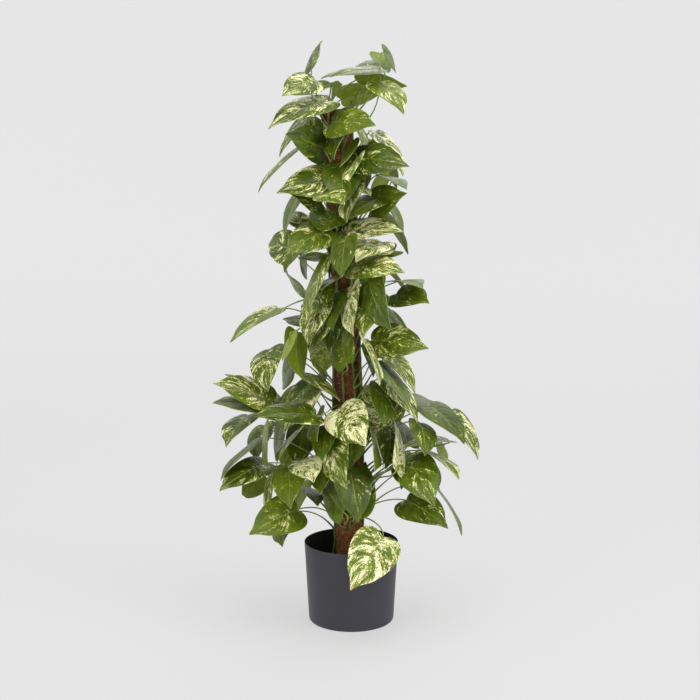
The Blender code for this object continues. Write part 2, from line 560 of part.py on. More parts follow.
def apart(a, b):
    """True when two bounds do not meet."""
    return any(a.low[axis] > b.high[axis] or b.low[axis] > a.high[axis] for axis in range(3))


def crossings(guard, placed):
    """Count the shapes of other stems and of the same stem that a guard runs into."""
    others, own = 0, 0
    for other in placed:
        if apart(guard, other) or not guard.tree.overlap(other.tree):
            continue
        if other.owner == guard.owner:
            own += 1
        else:
            others += 1
    return others, own


def fixed_guards():
    """Guards of the pot, the fill, the pole and every stem."""
    radii = [SLEEVE_RADIUS + 0.0003] * (POLE_RUNS + 1)
    pole = tube(pole_points(POLE_FOOT, POLE_TOP + 0.001, POLE_RUNS), radii, 20)
    guards = [bm_guard(pole, "pole"), bm_guard(turned(pot_profile(0.0012), 32), "pot")]
    for index in range(STEM_COUNT):
        path = stem_path(index)
        radii = [STEM_RADIUS + 0.0004] * len(path)
        guards.append(bm_guard(tube(path, radii, STEM_SIDES), index))
    path = collar_path()
    guards.append(bm_guard(tube(path, [STEM_RADIUS + 0.0004] * len(path), STEM_SIDES), COLLAR_STEM))
    return guards


def stalk_options(leaf, starts):
    """Stalk starts near the leaf, nearest first to a point a little below its base."""
    centre = pole_axis(leaf.base.z)
    span = (leaf.base - centre).length
    wanted = leaf.base - Vector((0.0, 0.0, min(0.30 * span + 0.02, 0.07)))
    ranked = sorted(starts, key=lambda start: (start[1] - wanted).length)
    return ranked[:START_TRIES]


def stalk_tries(leaf, starts):
    """Yield every stalk that may carry the leaf."""
    for bend in STALK_BENDS:
        for owner, start in stalk_options(leaf, starts):
            out = start - pole_axis(start.z)
            yield owner, stalk_curve(start, out.normalized(), leaf, bend)


def settle(place, tries, starts, placed):
    """Find the first place of a leaf that meets nothing but the stem that carries it."""
    for attempt in tries:
        leaf = place(attempt)
        blade = blade_guard(leaf)
        if crossings(blade, placed)[0]:
            continue
        for owner, curve in stalk_tries(leaf, starts):
            points, faces = leaf_shape(leaf, curve, GUARD_THICKNESS, GUARD_STALK)
            if blade.tree.overlap(stalk_tree(points)):
                continue
            guard = guard_of(points, faces, owner)
            others, own = crossings(guard, placed)
            if others or own > 1 or any(crossings(beyond_stem(points, faces, owner), placed)):
                continue
            if not crosses_itself(leaf, curve):
                return leaf, owner, curve, guard
    return None


def beyond_stem(points, faces, owner):
    """Guard of a leaf without the first run of its stalk, which starts inside the stem."""
    return guard_of(points, [face for face in faces if min(face) >= 4], owner)


def stalk_tree(points):
    """Overlap tree of a stalk without its last run, which opens into the blade."""
    rings = len(STALK_STEPS) - 1
    return BVHTree.FromPolygons(points[:rings * 4], stalk_faces(rings))


def crosses_itself(leaf, curve):
    """True when faces of a leaf that share no corner run through each other."""
    points, faces = leaf_shape(leaf, curve, BLADE_THICKNESS, STALK_RADIUS)
    tree = BVHTree.FromPolygons(points, faces)
    return any(not set(faces[a]) & set(faces[b]) for a, b in tree.overlap(tree))


def blade_guard(leaf):
    """Guard of the blade alone."""
    notch = [leaf.base + spoke * GUARD_STALK
             for spoke in (leaf.normal, leaf.side, -leaf.normal, -leaf.side)]
    points = list(notch)
    for corners in blade_rows(leaf, GUARD_THICKNESS):
        points += corners
    points.append(blade_point(leaf, 1.0, 0.0))
    return guard_of(points, blade_faces(0, leaf.rows) + [(0, 1, 2, 3)], None)


def place_leaves():
    """Place every leaf in turn, each bent clear of those before it."""
    starts = stalk_starts()
    placed = fixed_guards()
    leaves = []
    jobs = [(SLIDES, lambda slide, row=row: seen_leaf(row, slide)) for row in LEAVES]
    for rule in RULE_LEAVES:
        jobs += [(range(RULE_DRAWS), lambda draw, rule=rule, number=number: rule_leaf(rule, number, draw))
                 for number in range(rule[1])]
    for tries, place in jobs:
        found = settle(place, tries, starts, placed)
        if found is None:
            print("no clear place for", place(0).name)
            continue
        leaf, owner, curve, guard = found
        placed.append(guard)
        leaves.append(SimpleNamespace(leaf=leaf, owner=owner, curve=curve))
    return leaves


def leaf_bmesh(entry):
    """Build one leaf as a closed bmesh."""
    points, faces = leaf_shape(entry.leaf, entry.curve, BLADE_THICKNESS, STALK_RADIUS)
    bm = bmesh.new()
    verts = [bm.verts.new(point) for point in points]
    for face in faces:
        bm.faces.new([verts[index] for index in face])
    return bm


def join(item, repeats):
    """Unite an object with a collection of closed repeats, then remove the repeats."""
    modifier = item.modifiers.new("join_repeats", "BOOLEAN")
    modifier.operation = "UNION"
    modifier.operand_type = "COLLECTION"
    modifier.collection = repeats
    modifier.solver = "MANIFOLD"
    graph = bpy.context.evaluated_depsgraph_get()
    united = bpy.data.meshes.new_from_object(item.evaluated_get(graph))
    item.modifiers.clear()
    item.data = united
    for repeat in list(repeats.objects):
        bpy.data.objects.remove(repeat, do_unlink=True)
    bpy.data.collections.remove(repeats)


def drop_scraps(item):
    """Keep only the largest connected body of a mesh."""
    bm = bmesh.new()
    bm.from_mesh(item.data)
    left = set(bm.verts)
    islands = []
    while left:
        seed = left.pop()
        island = {seed}
        front = [seed]
        while front:
            for edge in front.pop().link_edges:
                for vert in edge.verts:
                    if vert in left:
                        left.discard(vert)
                        island.add(vert)
                        front.append(vert)
        islands.append(island)
    biggest = max(islands, key=len)
    spare = [vert for vert in bm.verts if vert not in biggest]
    bmesh.ops.delete(bm, geom=spare, context="VERTS")
    bm.to_mesh(item.data)
    bm.free()


def build_vine(index, leaves, collection, material):
    """One vine: stem, side shoot where it has one, and all its leaves in one solid."""
    path = stem_path(index)
    radii = [STEM_RADIUS * (1.0 - 0.25 * step / len(path)) for step in range(len(path))]
    vine = add_object(STEM_NAMES[index], tube(path, radii, STEM_SIDES), collection, material)
    repeats = make_collection("repeats_of_" + STEM_NAMES[index])
    if index == COLLAR_STEM:
        shoot = collar_path()
        thin = [STEM_RADIUS * 0.85] * len(shoot)
        add_object("side_shoot", tube(shoot, thin, STEM_SIDES), repeats)
    for entry in leaves:
        if entry.owner == index:
            add_object("leaf", leaf_bmesh(entry), repeats)
    join(vine, repeats)
    drop_scraps(vine)
    return vine


def pot_profile(extra):
    """Outline of the pot's wall, grown outward and inward by a little where asked."""
    corner = POT_CORNER
    slope = (POT_RIM_RADIUS - POT_BASE_RADIUS) / POT_HEIGHT
    outer = [(0.0, 0.0), (POT_BASE_RADIUS - corner, 0.0)]
    outer.append((POT_BASE_RADIUS - corner * 0.3 + extra, corner * 0.3))
    outer.append((POT_BASE_RADIUS + slope * corner + extra, corner))
    outer.append((POT_RIM_RADIUS + extra, POT_HEIGHT - 0.0006))
    outer.append((POT_RIM_RADIUS - 0.0006 + extra, POT_HEIGHT + extra))
    inner = [(POT_RIM_RADIUS - POT_WALL + 0.0004 - extra, POT_HEIGHT + extra)]
    inner.append((POT_RIM_RADIUS - POT_WALL - extra, POT_HEIGHT - 0.0004))
    inner.append((POT_BASE_RADIUS - POT_WALL + slope * (POT_FLOOR + corner) - extra, POT_FLOOR + corner))
    inner.append((POT_BASE_RADIUS - POT_WALL - corner - extra, POT_FLOOR))
    inner.append((0.0, POT_FLOOR))
    return outer + inner


def build_pot(collection):
    """The thin black plastic pot."""
    material = make_material("black_plastic", (0.055, 0.053, 0.058), 0.55)
    return add_object("pot", turned(pot_profile(0.0), POT_SIDES), collection, material)


def wall_inside(height):
    """Inner radius of the pot at a height."""
    slope = (POT_RIM_RADIUS - POT_BASE_RADIUS) / POT_HEIGHT
    return POT_BASE_RADIUS - POT_WALL + slope * height


def build_fill(collection, cutters):
    """The potting fill with plain holes for the pole and for the foot of each stem."""
    low = POT_FLOOR + SEAT_GAP
    corner = POT_CORNER + 0.0012
    foot = wall_inside(low) - corner - 0.0012
    profile = [(0.0, low), (foot, low), (wall_inside(low + corner) - 0.0009, low + corner)]
    profile += [(wall_inside(FILL_TOP) - 0.0009, FILL_TOP - 0.002)]
    profile += [(wall_inside(FILL_TOP) - 0.0030, FILL_TOP), (0.0, FILL_TOP)]
    material = make_material("potting_mix", (0.030, 0.022, 0.016), 0.95)
    fill = add_object("potting_fill", turned(profile, POT_SIDES), collection, material)
    hole = tube(pole_points(POLE_FOOT - SEAT_GAP, 0.120, 1), [SLEEVE_RADIUS + SEAT_GAP] * 2, 24)
    cut(fill, "pole_hole", hole, cutters)
    for index in range(STEM_COUNT):
        centre = stem_point(index, FILL_TOP)
        low_end = Vector((centre.x, centre.y, FILL_TOP - STEM_FOOT_DEPTH - SEAT_GAP))
        high_end = Vector((centre.x, centre.y, 0.120))
        radii = [STEM_RADIUS + SEAT_GAP + 0.0002] * 2
        cut(fill, f"stem_hole_{index + 1}", tube([low_end, high_end], radii, 8), cutters)
    return fill


def cut(item, name, bm, cutters):
    """Subtract a cutter from an object."""
    cutter = add_object(name, bm, cutters)
    cutter.hide_render = True
    cutter.display_type = "WIRE"
    modifier = item.modifiers.new(name, "BOOLEAN")
    modifier.operation = "DIFFERENCE"
    modifier.object = cutter
    modifier.solver = "EXACT"


def build_pole(collection, cutters):
    """The wooden core and the coir sleeve that closes over its top."""
    wood = make_material("pole_wood", (0.35, 0.24, 0.13), 0.8)
    coir = make_material("coir", (0.13, 0.055, 0.025), 0.95)
    core_top = POLE_TOP - 0.012
    core = tube(pole_points(POLE_FOOT, core_top, POLE_RUNS), [CORE_RADIUS] * (POLE_RUNS + 1), 12)
    add_object("pole_core", core, collection, wood)
    sleeve = tube(pole_points(POLE_FOOT, POLE_TOP, POLE_RUNS), [SLEEVE_RADIUS] * (POLE_RUNS + 1), 20)
    sleeve = add_object("coir_sleeve", sleeve, collection, coir)
    room = CORE_RADIUS + SEAT_GAP
    bore = pole_points(POLE_FOOT, core_top, POLE_RUNS)
    bore = [bore[0] - Vector((0.0, 0.0, 0.01))] + bore[1:-1] + [bore[-1] + Vector((0.0, 0.0, SEAT_GAP))]
    cut(sleeve, "core_hole", tube(bore, [room] * (POLE_RUNS + 1), 12), cutters)


def main():
    """Build every piece."""
    clear_scene()
    collection = make_collection("marbled_pothos")
    cutters = make_collection("cutters")
    build_pot(collection)
    build_fill(collection, cutters)
    build_pole(collection, cutters)
    green = make_material("marbled_leaf", (0.13, 0.24, 0.05), 0.35)
    leaves = place_leaves()
    for index in range(STEM_COUNT):
        build_vine(index, leaves, collection, green)
    print("leaves placed", len(leaves))


main()
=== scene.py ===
"""Marbled pothos climbing a coir pole in a plain black pot, in a pale studio."""
import math
import random
import statistics
from functools import partial
from types import SimpleNamespace

import bmesh
import bpy
from mathutils import Matrix, Vector, noise
from mathutils.bvhtree import BVHTree


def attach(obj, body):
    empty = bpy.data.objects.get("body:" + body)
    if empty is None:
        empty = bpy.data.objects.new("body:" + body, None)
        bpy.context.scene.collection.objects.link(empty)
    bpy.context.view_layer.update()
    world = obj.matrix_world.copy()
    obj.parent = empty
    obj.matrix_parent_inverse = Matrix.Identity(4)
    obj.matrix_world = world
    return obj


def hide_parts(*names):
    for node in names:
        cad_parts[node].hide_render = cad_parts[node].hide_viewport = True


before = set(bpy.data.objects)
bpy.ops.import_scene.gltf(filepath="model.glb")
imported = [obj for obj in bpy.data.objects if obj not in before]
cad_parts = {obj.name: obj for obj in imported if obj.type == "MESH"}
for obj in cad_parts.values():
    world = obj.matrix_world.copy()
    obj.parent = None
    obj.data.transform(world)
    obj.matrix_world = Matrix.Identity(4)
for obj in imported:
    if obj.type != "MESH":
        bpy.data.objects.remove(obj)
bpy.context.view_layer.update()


# The studio: a seamless pale sweep, flat under the pot and curving up into a wall all the way
# round, so that the plant stands on plain ground from every side. The sheet itself glows with
# painted light, a little more towards the wall, so it looks evenly bright and the shadow under the
# pot stays faint.
SWEEP_FLAT = 3.4
SWEEP_BEND = 1.3
SWEEP_WALL = 3.6
BEND_STEPS = 12


def sweep_section():
    """Radius and height along the sweep, from its middle to the top of its wall."""
    points = [(0.0, 0.0), (0.8, 0.0), (SWEEP_FLAT, 0.0)]
    for step in range(1, BEND_STEPS + 1):
        turn = math.pi / 2 * step / BEND_STEPS
        points.append((SWEEP_FLAT + SWEEP_BEND * math.sin(turn), SWEEP_BEND * (1 - math.cos(turn))))
    return points + [(SWEEP_FLAT + SWEEP_BEND, SWEEP_WALL)]


def spun(section, steps):
    """Turn a half section, given by radius and height, into a round shell."""
    bm = bmesh.new()
    verts = [bm.verts.new((radius, 0.0, height)) for radius, height in section]
    edges = [bm.edges.new(pair) for pair in zip(verts, verts[1:])]
    bmesh.ops.spin(bm, geom=verts + edges, cent=(0, 0, 0), axis=(0, 0, 1),
                   angle=math.tau, steps=steps, use_merge=True)
    bmesh.ops.remove_doubles(bm, verts=bm.verts, dist=0.00001)
    return bm


def piece(name, bm, *materials):
    """Finish a bmesh as a smooth object that carries the given materials."""
    for face in bm.faces:
        face.smooth = True
    mesh = bpy.data.meshes.new(name)
    bm.to_mesh(mesh)
    bm.free()
    for material in materials:
        mesh.materials.append(material)
    item = bpy.data.objects.new(name, mesh)
    bpy.context.scene.collection.objects.link(item)
    return item


def paint(colour):
    """Linear colour of a screen colour, which is given as red, green and blue from 0 to 255."""
    return tuple(((value / 255 + 0.055) / 1.055) ** 2.4 for value in colour) + (1.0,)


def feed(tree, socket, value):
    """Link a socket from another one, or set it to a plain value."""
    if isinstance(value, bpy.types.NodeSocket):
        tree.links.new(value, socket)
    else:
        socket.default_value = value


def step_node(tree, kind, settings=(), **inputs):
    """Add a shader node, set its options, and feed its named inputs."""
    item = tree.nodes.new(kind)
    for option, value in settings:
        setattr(item, option, value)
    for label, value in inputs.items():
        feed(tree, item.inputs[label.replace("_", " ")], value)
    return item


def finish(name, colour, roughness, specular=0.5):
    """Start a material; also gives its nodes, its shader and the place on the object."""
    material = bpy.data.materials.new(name)
    material.use_nodes = True
    tree = material.node_tree
    shader = tree.nodes["Principled BSDF"]
    shader.inputs["Base Color"].default_value = paint(colour)
    shader.inputs["Roughness"].default_value = roughness
    shader.inputs["Specular IOR Level"].default_value = specular
    return material, tree, shader, step_node(tree, "ShaderNodeTexCoord").outputs["Object"]


def mottle(tree, place, scale, detail=2.0, roughness=0.5, distortion=0.0):
    """Soft cloudy value from 0 to 1 over a place."""
    return step_node(tree, "ShaderNodeTexNoise", Vector=place, Scale=scale, Detail=detail,
                     Roughness=roughness, Distortion=distortion).outputs["Fac"]


def between(tree, value, low, high, start=0.0, end=1.0):
    """Ease a value from start to end as it goes from low to high."""
    item = step_node(tree, "ShaderNodeMapRange", [("interpolation_type", "SMOOTHSTEP")],
                     Value=value, From_Min=low, From_Max=high, To_Min=start, To_Max=end)
    return item.outputs["Result"]


def shade(tree, share, first, second):
    """Mix two colours, each a screen colour or a socket, by a share."""
    item = step_node(tree, "ShaderNodeMix", [("data_type", "RGBA")])
    feed(tree, item.inputs[0], share)
    for index, colour in ((6, first), (7, second)):
        feed(tree, item.inputs[index], paint(colour) if isinstance(colour, tuple) else colour)
    return item.outputs[2]


def reckon(tree, operation, *values):
    """One arithmetic step on sockets and numbers."""
    item = step_node(tree, "ShaderNodeMath", [("operation", operation)])
    for index, value in enumerate(values):
        feed(tree, item.inputs[index], value)
    return item.outputs[0]


def tint(tree, shader, share, first, second):
    """Colour a skin between two colours by a share."""
    feed(tree, shader.inputs["Base Color"], shade(tree, share, first, second))


def raise_surface(tree, shader, height, strength, distance):
    """Feed a height into the shader's normal."""
    bump = step_node(tree, "ShaderNodeBump", Height=height, Strength=strength, Distance=distance)
    feed(tree, shader.inputs["Normal"], bump.outputs["Normal"])


sweep_glow_paint, tree, shader, place = finish("sweep_sheet", (124, 124, 124), 0.9, 0.0)
# Painted light: the sheet glows by its own emission, brighter away from the middle.
shader.inputs["Emission Strength"].default_value = 1.0
away = step_node(tree, "ShaderNodeVectorMath", [("operation", "LENGTH")], Vector=place)
feed(tree, shader.inputs["Emission Color"],
     shade(tree, between(tree, away.outputs["Value"], 1.0, 5.0), (193, 193, 193), (205, 205, 205)))
sweep = spun(sweep_section(), 96)
bmesh.ops.recalc_face_normals(sweep, faces=sweep.faces)
sweep = piece("sweep", sweep, sweep_glow_paint)


# The view and the light: the camera stands a little below the plant's top and looks slightly
# down on it. The light is a wide soft panel overhead, two large side panels, one behind and a
# white room.
EYE = Vector((-0.0025, -2.42, 0.88))
LOOK_DOWN = 8.35
FOCAL_PIXELS = 1300.0
PICTURE_PIXELS = 700.0

camera = bpy.data.cameras.new("view")
camera.sensor_width = 36.0
camera.lens = camera.sensor_width * FOCAL_PIXELS / PICTURE_PIXELS
viewer = bpy.data.objects.new("view", camera)
viewer.location = EYE
viewer.rotation_euler = (math.radians(90.0 - LOOK_DOWN), 0.0, 0.0)
bpy.context.scene.collection.objects.link(viewer)
bpy.context.scene.camera = viewer
bpy.context.scene.view_settings.view_transform = "Standard"

room = bpy.data.worlds.new("white_room")
room.use_nodes = True
room.node_tree.nodes["Background"].inputs["Color"].default_value = (1.0, 1.0, 1.0, 1.0)
room.node_tree.nodes["Background"].inputs["Strength"].default_value = 0.55
bpy.context.scene.world = room

# Name, place, point it is turned to, width, height and watts of each soft panel.
for name, place, aim, width, height, power in (
        ("overhead_panel", (0.3, -0.6, 3.5), (0.0, 0.0, 0.4), 2.6, 2.6, 62.0),
        ("left_panel", (-2.6, -2.6, 1.9), (0.0, 0.0, 0.45), 1.8, 2.2, 36.0),
        ("right_panel", (2.9, -1.8, 2.0), (0.0, 0.0, 0.5), 1.8, 2.2, 36.0),
        ("back_panel", (0.4, 3.0, 2.9), (0.0, 0.0, 0.7), 2.4, 1.8, 26.0)):
    light = bpy.data.lights.new(name, "AREA")
    light.shape = "RECTANGLE"
    light.size = width
    light.size_y = height
    light.energy = power
    panel = bpy.data.objects.new(name, light)
    panel.location = place
    panel.rotation_mode = "QUATERNION"
    panel.rotation_quaternion = (Vector(aim) - Vector(place)).to_track_quat("-Z", "Y")
    bpy.context.scene.collection.objects.link(panel)


# The pot: one thin shell of black plastic, moulded with a plain lip, a slight taper and a small
# rounded corner round its flat base. Its skin is matt, with a faint grain from the mould.
POT_HEIGHT = 0.1545
POT_RIM_RADIUS = 0.0900
POT_BASE_RADIUS = 0.0815
POT_WALL = 0.0024
POT_FLOOR = 0.0040
POT_CORNER = 0.0050
POT_TAPER = (POT_RIM_RADIUS - POT_BASE_RADIUS) / POT_HEIGHT
GRAIN = 620.0


def wall_radius(height, inward):
    """Radius at a height in the pot's wall, so far in from its outer face."""
    return POT_BASE_RADIUS - inward + POT_TAPER * height


def pot_section():
    """Radius and height round the pot's wall, its corners still square."""
    inner = POT_WALL + 0.0002
    return [(0.0, 0.0), (POT_BASE_RADIUS, 0.0), (POT_RIM_RADIUS, POT_HEIGHT),
            (POT_RIM_RADIUS - inner, POT_HEIGHT), (wall_radius(POT_FLOOR, inner), POT_FLOOR),
            (0.0, POT_FLOOR)]


def round_edges(bm, height, width, segments, inner_only=False):
    """Round the pot's ring edges at a height."""
    rings = []
    for edge in bm.edges:
        a, b = (vert.co for vert in edge.verts)
        level = abs(a.z - b.z) < 0.00001 and abs(a.z - height) < 0.001
        ring = level and abs(a.xy.length - b.xy.length) < 0.00001
        if ring and not (inner_only and a.xy.length > wall_radius(a.z, POT_WALL / 2)):
            rings.append(edge)
    bmesh.ops.bevel(bm, geom=rings, offset=width, offset_type="OFFSET", segments=segments,
                    profile=0.5, affect="EDGES", material=-1)


pot_plastic, tree, shader, place = finish("black_plastic", (50, 49, 54), 0.48)
cloud = mottle(tree, place, 9.0, 3.0)
grain = mottle(tree, place, GRAIN, 2.0, 0.6)
tint(tree, shader, between(tree, cloud, 0.3, 0.7), (45, 43, 51), (55, 53, 62))
feed(tree, shader.inputs["Roughness"],
     between(tree, reckon(tree, "MULTIPLY_ADD", grain, 0.4, cloud), 0.5, 0.9, 0.44, 0.56))
raise_surface(tree, shader, grain, 0.12, 0.0003)

# Painted shade: the inside of the pot is painted far darker and browner than the black plastic
# outside, with a faint dust mottle over it.
pot_inside_shade, tree, shader, place = finish("dusty_inside", (16, 13, 12), 0.8, 0.25)
dust = between(tree, mottle(tree, place, 26.0, 3.0), 0.35, 0.7)
tint(tree, shader, dust, (19, 14, 13), (31, 25, 22))
raise_surface(tree, shader, mottle(tree, place, GRAIN, 2.0, 0.6), 0.12, 0.0003)

pot = spun(pot_section(), 144)
bmesh.ops.recalc_face_normals(pot, faces=pot.faces)
round_edges(pot, 0.0, POT_CORNER, 5)
round_edges(pot, POT_FLOOR, POT_CORNER * 0.8, 4, inner_only=True)
round_edges(pot, POT_HEIGHT, 0.0008, 3)
# Faces inside the pot take the painted shade.
for face in pot.faces:
    middle = face.calc_center_median()
    inside = middle.xy.length < wall_radius(middle.z, POT_WALL / 2)
    face.material_index = 1 if inside and middle.z > 0.001 else 0
pot = piece("pot_shell", pot, pot_plastic, pot_inside_shade)
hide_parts("pot")
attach(pot, "root")


# The potting mix: dark peat and bark filled in round the foot of the pole and pressed down, so it
# lies lumpy and loose on top. It holds the pole and the foot of every stem.
FILL_TOP = 0.0950
SEAT_GAP = 0.0003
FILL_RINGS = 22
CRUMBS = 420
CRUMB_SIZES = (0.0012, 0.0016, 0.0022, 0.0031)


def crumbs_into(bm, seed):
    """Strew irregular crumbs of bark over the top of the mix."""
    chance = random.Random(seed)
    for _ in range(CRUMBS):
        distance = (wall_radius(FILL_TOP, POT_WALL) - 0.006) * math.sqrt(chance.random())
        angle = chance.uniform(0.0, math.tau)
        size = chance.choice(CRUMB_SIZES)
        turn = Matrix.Rotation(chance.uniform(0.0, math.tau), 4,
                               Vector((chance.random(), chance.random(), chance.random() + 0.1)))
        flat = Matrix.Diagonal((1.0, chance.uniform(0.5, 0.9), chance.uniform(0.3, 0.6), 1.0))
        spot = Vector((distance * math.cos(angle), distance * math.sin(angle), FILL_TOP - 0.0002))
        bmesh.ops.create_icosphere(bm, subdivisions=1, radius=size,
                                   matrix=Matrix.Translation(spot) @ turn @ flat)


mix_earth, tree, shader, place = finish("dark_mix", (38, 28, 22), 0.95)
crumb = mottle(tree, place, 190.0, 3.0, 0.6)
bark = between(tree, mottle(tree, place, 70.0, 1.0), 0.45, 0.6)
tint(tree, shader, between(tree, crumb, 0.35, 0.7), (22, 17, 14),
     shade(tree, bark, (40, 29, 22), (74, 50, 34)))
raise_surface(tree, shader, crumb, 0.7, 0.0012)

low = POT_FLOOR + SEAT_GAP
corner = POT_CORNER + 0.0012
wide = wall_radius(FILL_TOP, POT_WALL)
section = [(0.0, low), (wall_radius(low, POT_WALL) - corner - 0.0012, low),
           (wall_radius(low + corner, POT_WALL) - 0.0009, low + corner),
           (wide - 0.0009, FILL_TOP - 0.0022)]
section += [((wide - 0.0030) * step / FILL_RINGS, FILL_TOP) for step in range(FILL_RINGS, -1, -1)]
fill = spun(section, 72)
bmesh.ops.recalc_face_normals(fill, faces=fill.faces)
for vert in fill.verts:
    if vert.co.z > FILL_TOP - 0.0005:
        lump = noise.noise(vert.co * 95.0) + 0.6 * noise.noise(vert.co * 230.0)
        vert.co.z += 0.0016 * lump - 0.0014
crumbs_into(fill, 5)
fill = piece("potting_mix", fill, mix_earth)
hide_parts("potting_fill")
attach(fill, "root")


# The stake: a plain round softwood dowel down the middle of the pole. Nearly all of it is hidden
# by the coir wound round it.
pole_wood, tree, shader, place = finish("plain_softwood", (176, 138, 92), 0.7)
stretch = step_node(tree, "ShaderNodeMapping", Vector=place, Scale=(1.0, 1.0, 0.06))
rings = mottle(tree, stretch.outputs["Vector"], 160.0, 3.0, 0.6)
tint(tree, shader, between(tree, rings, 0.35, 0.65), (190, 152, 104), (140, 102, 64))
raise_surface(tree, shader, rings, 0.25, 0.0004)
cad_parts["pole_core"].data.materials.clear()
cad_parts["pole_core"].data.materials.append(pole_wood)


# The coir: reddish-brown coconut fibre matted into a thick sleeve and wound tight round the
# stake, with stray ends that stand a little proud. It leans left as it rises.
POLE_FOOT = 0.0200
POLE_TOP = 0.9700
SLEEVE_RADIUS = 0.0250
POLE_RUNS = 10
POLE_X = -0.0045
POLE_LEAN = 0.0225
LEAN_START = 0.1500
LEAN_SPAN = 0.8200
COIR_SIDES = 72
COIR_RUNS = 260
COIR_SUNK = 0.022
COIR_SHAG = 0.026
COIR_WIND = 0.022
COIR_TOP_SUNK = 0.06
STRAY_FIBRES = 620
STRAY_RUNS = 4


def pole_axis(height):
    """Centre of the pole at a height: upright at the foot, leaning left above."""
    rise = max(height - LEAN_START, 0.0) / LEAN_SPAN
    return Vector((POLE_X - POLE_LEAN * rise * rise, 0.0, height))


def pole_points(low, high, steps):
    """Evenly spaced points along the pole's centre line."""
    return [pole_axis(low + (high - low) * step / steps) for step in range(steps + 1)]


def drawn_along(bm, centres, radii, sides):
    """Draw a round ring out along a line of centres, close both ends, and return all its rings."""
    ends = len(centres) - 1
    sideways = Vector((1.0, 0.0, 0.0))
    rings = []
    for index, centre in enumerate(centres):
        heading = (centres[min(index + 1, ends)] - centres[max(index - 1, 0)]).normalized()
        sideways = (sideways - heading * sideways.dot(heading)).normalized()
        turn = Matrix((sideways, heading.cross(sideways), heading)).transposed()
        place = Matrix.Translation(centre) @ turn.to_4x4()
        if index == 0:
            ring = bmesh.ops.create_circle(bm, segments=sides, radius=1.0)["verts"]
            lead = list(dict.fromkeys(edge for vert in ring for edge in vert.link_edges))
        else:
            made = bmesh.ops.extrude_edge_only(bm, edges=lead)["geom"]
            ring = [item for item in made if isinstance(item, bmesh.types.BMVert)]
            fresh = set(ring)
            lead = [item for item in made if isinstance(item, bmesh.types.BMEdge)
                    and fresh.issuperset(item.verts)]
            bmesh.ops.transform(bm, matrix=last.inverted(), verts=ring)
        last = place @ Matrix.Scale(radii[index], 4)
        bmesh.ops.transform(bm, matrix=last, verts=ring)
        rings.append(ring)
        if index in (0, ends):
            bmesh.ops.contextual_create(bm, geom=lead)
    skin = dict.fromkeys(face for ring in rings for vert in ring for face in vert.link_faces)
    bmesh.ops.recalc_face_normals(bm, faces=list(skin))
    return rings


def stray_into(bm, seed):
    """Lay loose fibre ends over the coir, most of them running round it at a slant."""
    chance = random.Random(seed)
    strands = bpy.data.curves.new("stray_fibres", "CURVE")
    strands.dimensions = "3D"
    strands.bevel_depth = 0.0002
    strands.bevel_resolution = 0
    for _ in range(STRAY_FIBRES):
        height = chance.uniform(FILL_TOP, POLE_TOP - 0.004)
        bearing = chance.uniform(0.0, math.tau)
        slant = chance.uniform(-0.9, 0.9)
        length = chance.uniform(0.008, 0.024)
        lift = chance.choice((0.0004, 0.0008, 0.0016, 0.0028))
        strand = strands.splines.new("POLY")
        strand.points.add(STRAY_RUNS)
        for step, knot in enumerate(strand.points):
            share = step / STRAY_RUNS
            swing = bearing + length * share * math.cos(slant) / SLEEVE_RADIUS
            level = min(height + length * share * math.sin(slant), POLE_TOP - 0.001)
            out = SLEEVE_RADIUS - 0.0006 + lift * share * share
            spot = pole_axis(level) + Vector((math.cos(swing), math.sin(swing), 0.0)) * out
            knot.co = (*spot, 1.0)
            knot.radius = 1.1 - 0.7 * share
    lying = bpy.data.objects.new("stray_fibres", strands)
    mesh = bpy.data.meshes.new_from_object(lying)
    bm.from_mesh(mesh)
    bpy.data.objects.remove(lying)
    bpy.data.meshes.remove(mesh)


coir, tree, shader, place = finish("coir_fibre", (96, 60, 40), 0.95, 0.2)
slanted = step_node(tree, "ShaderNodeMapping", Vector=place, Scale=(1.0, 1.0, 0.22),
                    Rotation=(0.5, 0.35, 0.0))
crossed = step_node(tree, "ShaderNodeMapping", Vector=place, Scale=(0.25, 0.25, 1.0),
                    Rotation=(-0.4, 0.3, 0.0))
upright = mottle(tree, slanted.outputs["Vector"], 520.0, 4.0, 0.65, 0.6)
lying = mottle(tree, crossed.outputs["Vector"], 430.0, 4.0, 0.65, 0.8)
patch = between(tree, mottle(tree, place, 26.0, 2.0), 0.3, 0.7)
fibre = reckon(tree, "MAXIMUM", upright, lying)
tint(tree, shader, between(tree, fibre, 0.52, 0.68),
     shade(tree, patch, (76, 44, 27), (114, 70, 42)), (176, 122, 80))
raise_surface(tree, shader, fibre, 0.9, 0.0016)

sleeve = bmesh.new()
centres = pole_points(POLE_FOOT, POLE_TOP, COIR_RUNS)
rings = drawn_along(sleeve, centres, [SLEEVE_RADIUS] * len(centres), COIR_SIDES)
for index, (centre, ring) in enumerate(zip(centres, rings)):
    for vert in ring:
        x, y, z = vert.co
        shag = noise.noise(Vector((x * 210.0, y * 210.0, z * 90.0)))
        wind = noise.noise(Vector((x * 60.0, y * 60.0, z * 45.0)))
        give = 1.0 - COIR_SUNK - COIR_SHAG * shag - COIR_WIND * wind
        if index == COIR_RUNS:
            give -= COIR_TOP_SUNK
        vert.co = centre + (vert.co - centre) * give
stray_into(sleeve, 17)
bmesh.ops.recalc_face_normals(sleeve, faces=sleeve.faces)
sleeve = piece("coir_wrap", sleeve, coir)
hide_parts("coir_sleeve")
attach(sleeve, "root")


